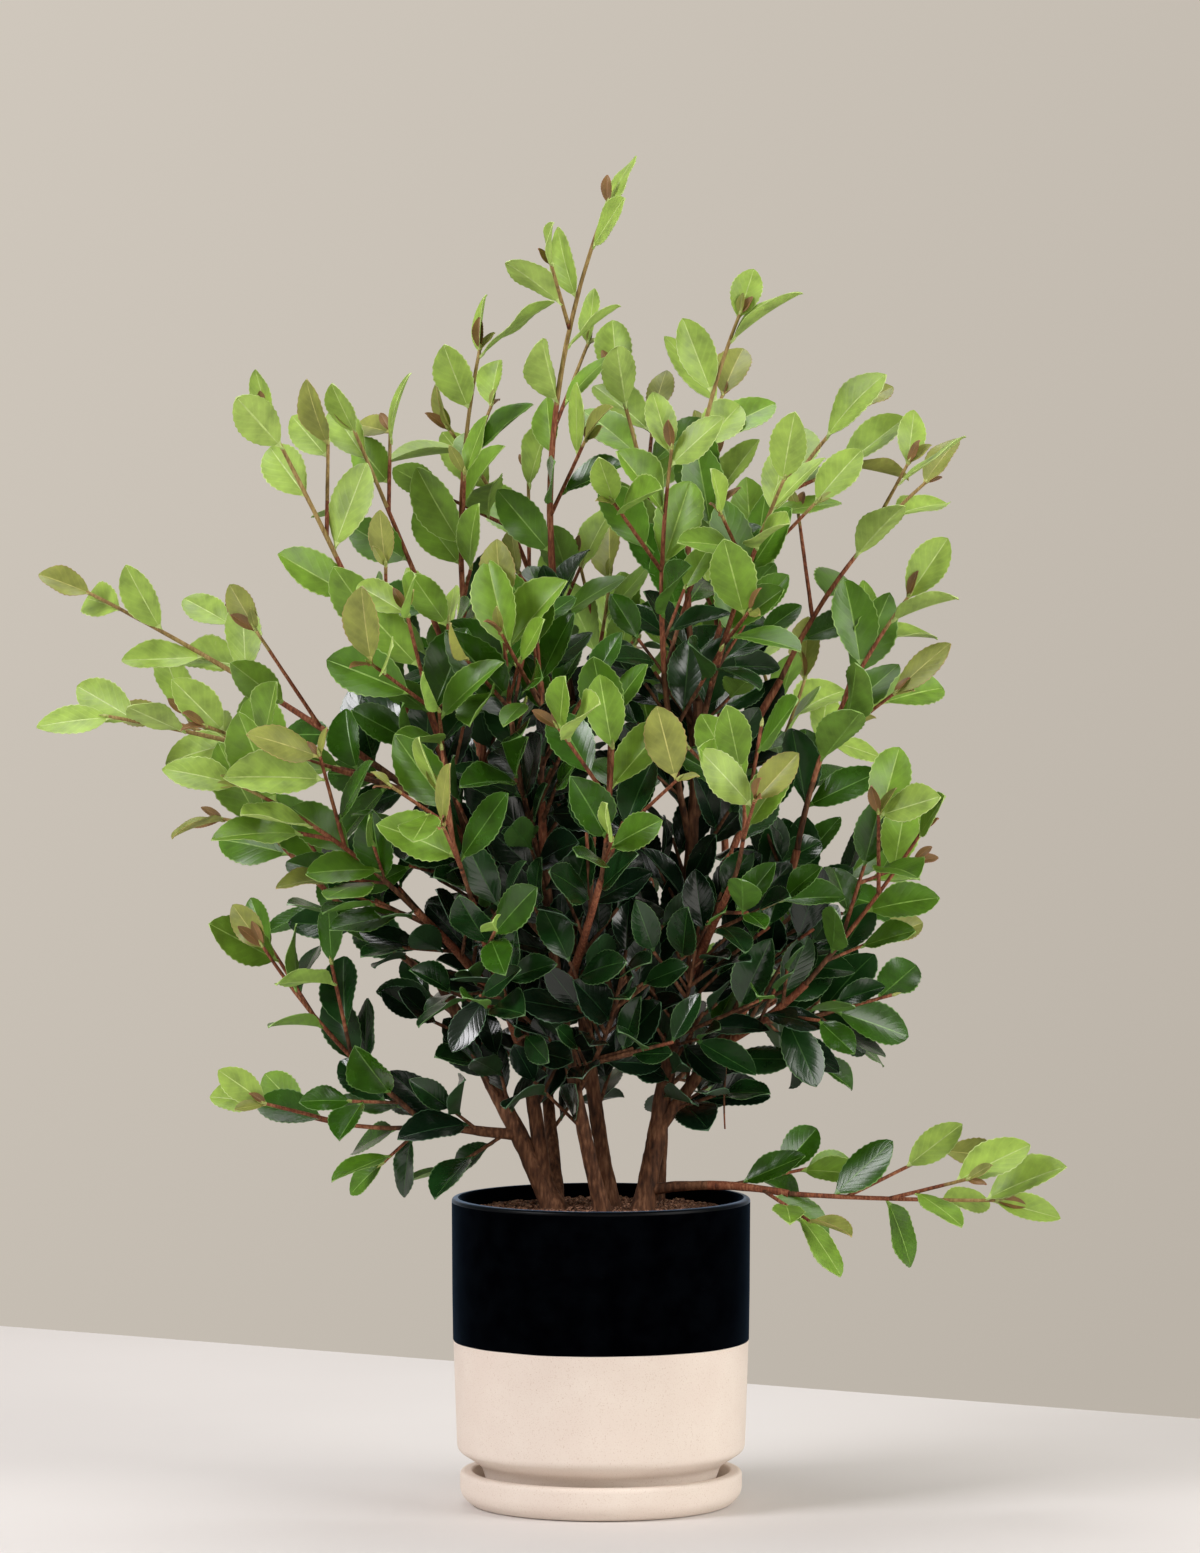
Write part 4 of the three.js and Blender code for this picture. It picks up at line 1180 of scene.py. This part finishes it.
# %% Crumbs on the bed
CRUMB_REACH = SOIL_RADIUS - 4
chip = crumb_mesh()
bed = [ring for ring in rings[below_edge:] if math.hypot(*ring[0, :2]) < CRUMB_REACH]
bed_faces = ring_quads(len(bed), SOIL_SIDES)
crumbs = mesh_object("crumbs_bed", np.concatenate(bed) * MM, bed_faces, [0] * len(bed_faces),
                     [mix.material])
modifier = crumbs.modifiers.new("crumbs", "NODES")
modifier.node_group, named = crumb_nodes(chip)
modifier[named["Density"]] = CRUMBS_PER_M2
modifier[named["Seed"]] = CRUMB_SEED
bpy.context.view_layer.update()
scattered = bpy.data.meshes.new_from_object(
    crumbs.evaluated_get(bpy.context.evaluated_depsgraph_get()))
bpy.data.objects.remove(crumbs)
bpy.data.objects.remove(chip)
crumbs = show("bark_crumbs", scattered)
print("crumb faces:", len(scattered.polygons))

# %% [markdown]
# ## What rides on the frame
# The new pieces stand for the measured solids, which stay for collision. Everything is one rigid
# body, and the floor belongs to the stage.

# %% Riding and replacing
limb_nodes = list(limbs)
mass_nodes = [mass.name for mass in masses]
for piece in [stems, twigs, buds, *leaf_objects, saucer, pot, soil, crumbs]:
    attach(piece, "root")
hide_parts(*limb_nodes)
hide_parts(*mass_nodes)
for piece in leaf_objects + [buds]:
    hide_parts(*mass_nodes)
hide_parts("saucer")
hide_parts("pot")
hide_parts("potting_mix")

# %% [markdown]
# ## Table, light and camera
# A pale table top, a large soft light from the left and a weaker one from the right keep the
# shadows soft. The camera looks from far away and nearly level, as a portrait lens would.

# %% Table
TABLE_TURN = math.radians(-31.3)
TABLE_BACK = (-0.023, 0.632)      # a point on the back edge
TABLE_WIDTH, TABLE_DEPTH = 9.0, 7.0
table_tint = Surface("pale_table_top", "#e0dcda", 0.6)
table_tint.two_tones(300, 2.0, (0.3, "#dedad8"), (0.7, "#e2dedc"))
table_tint.bump(table_tint.noise(3, 2.0), 0.03, 0.3)
edge_line = np.array((math.cos(TABLE_TURN), math.sin(TABLE_TURN), 0))
inward = np.array((edge_line[1], -edge_line[0], 0))
left, right = (np.array((*TABLE_BACK, 0)) + edge_line * side * TABLE_WIDTH / 2 for side in (-1, 1))
table_points = [left, left + inward * TABLE_DEPTH, right + inward * TABLE_DEPTH, right]
table = mesh_object("table_top", table_points, [(0, 1, 2, 3)], [0], [table_tint.material])

# %% Wall
WALL_BACK, WALL_HALF, WALL_LOW, WALL_HIGH = 16.0, 10.0, -6.0, 10.0
WALL_ACROSS, WALL_UP, WALL_MIDDLE = -0.1, 0.09, 0.48   # how the wall's light fades
# The wall glows as painted light: its emitted colour is brighter to the upper left and darker to the
# lower right, and it lights the scene too.
wall_glow = Surface("beige_wall_glow_painted_light", "#000000", 1.0, Specular_IOR_Level=0.0, Emission_Strength=1.0)
place_on_wall = wall_glow.add("ShaderNodeSeparateXYZ", Vector=wall_glow.place())
across_wall = wall_glow.math("MULTIPLY", place_on_wall.outputs["X"], WALL_ACROSS)
up_wall = wall_glow.math("MULTIPLY", place_on_wall.outputs["Z"], WALL_UP)
wall_light = wall_glow.math("ADD", wall_glow.math("ADD", across_wall, up_wall), WALL_MIDDLE)
wall_glow.feed(wall_glow.ramp(wall_light, (0.15, "#bbb3a8"), (0.85, "#cfc7bc")), "Emission Color")
wall_points = [(x, WALL_BACK, z) for x, z in ((-WALL_HALF, WALL_LOW), (WALL_HALF, WALL_LOW),
                                              (WALL_HALF, WALL_HIGH), (-WALL_HALF, WALL_HIGH))]
wall = mesh_object("wall", wall_points, [(0, 1, 2, 3)], [0], [wall_glow.material])


# %% Lights
def aimed(made, place, aim):
    made.location = place
    made.rotation_euler = (Vector(aim) - Vector(place)).to_track_quat("-Z", "Y").to_euler()


def area_light(name, place, aim, size, watts, colour):
    data = bpy.data.lights.new(name, "AREA")
    data.size = size
    data.energy = watts
    data.color = linear(colour)[:3]
    aimed(show(name, data), place, aim)


area_light("soft_key", (-2.4, -1.5, 2.1), (0, 0, 0.4), 1.1, 74, "#fdfbff")
area_light("soft_fill", (2.4, -1.4, 1.4), (0, 0, 0.4), 1.8, 64, "#fffdfb")
area_light("low_bounce", (0.3, -2.6, 0.15), (0, 0, 0.15), 1.2, 8, "#fffaf4")
area_light("soft_top", (-0.2, 0.5, 2.4), (0, 0, 0.4), 1.2, 24, "#ffffff")
world = bpy.data.worlds.new("beige_room")
world.use_nodes = True
room_light = world.node_tree.nodes["Background"].inputs
room_light["Color"].default_value = linear("#c7bfb4")
room_light["Strength"].default_value = 0.45
bpy.context.scene.world = world
bpy.context.scene.view_settings.view_transform = "Standard"

# %% Camera
EYE = Vector((0.0, -4.0, 0.59))
AIM = Vector((-0.0006, 0.0, 0.4383))
LENS, SENSOR = 154.5, 36
camera_data = bpy.data.cameras.new("portrait_lens")
camera_data.lens = LENS
camera_data.sensor_width = SENSOR
camera = show("camera", camera_data)
aimed(camera, EYE, AIM)
bpy.context.scene.camera = camera
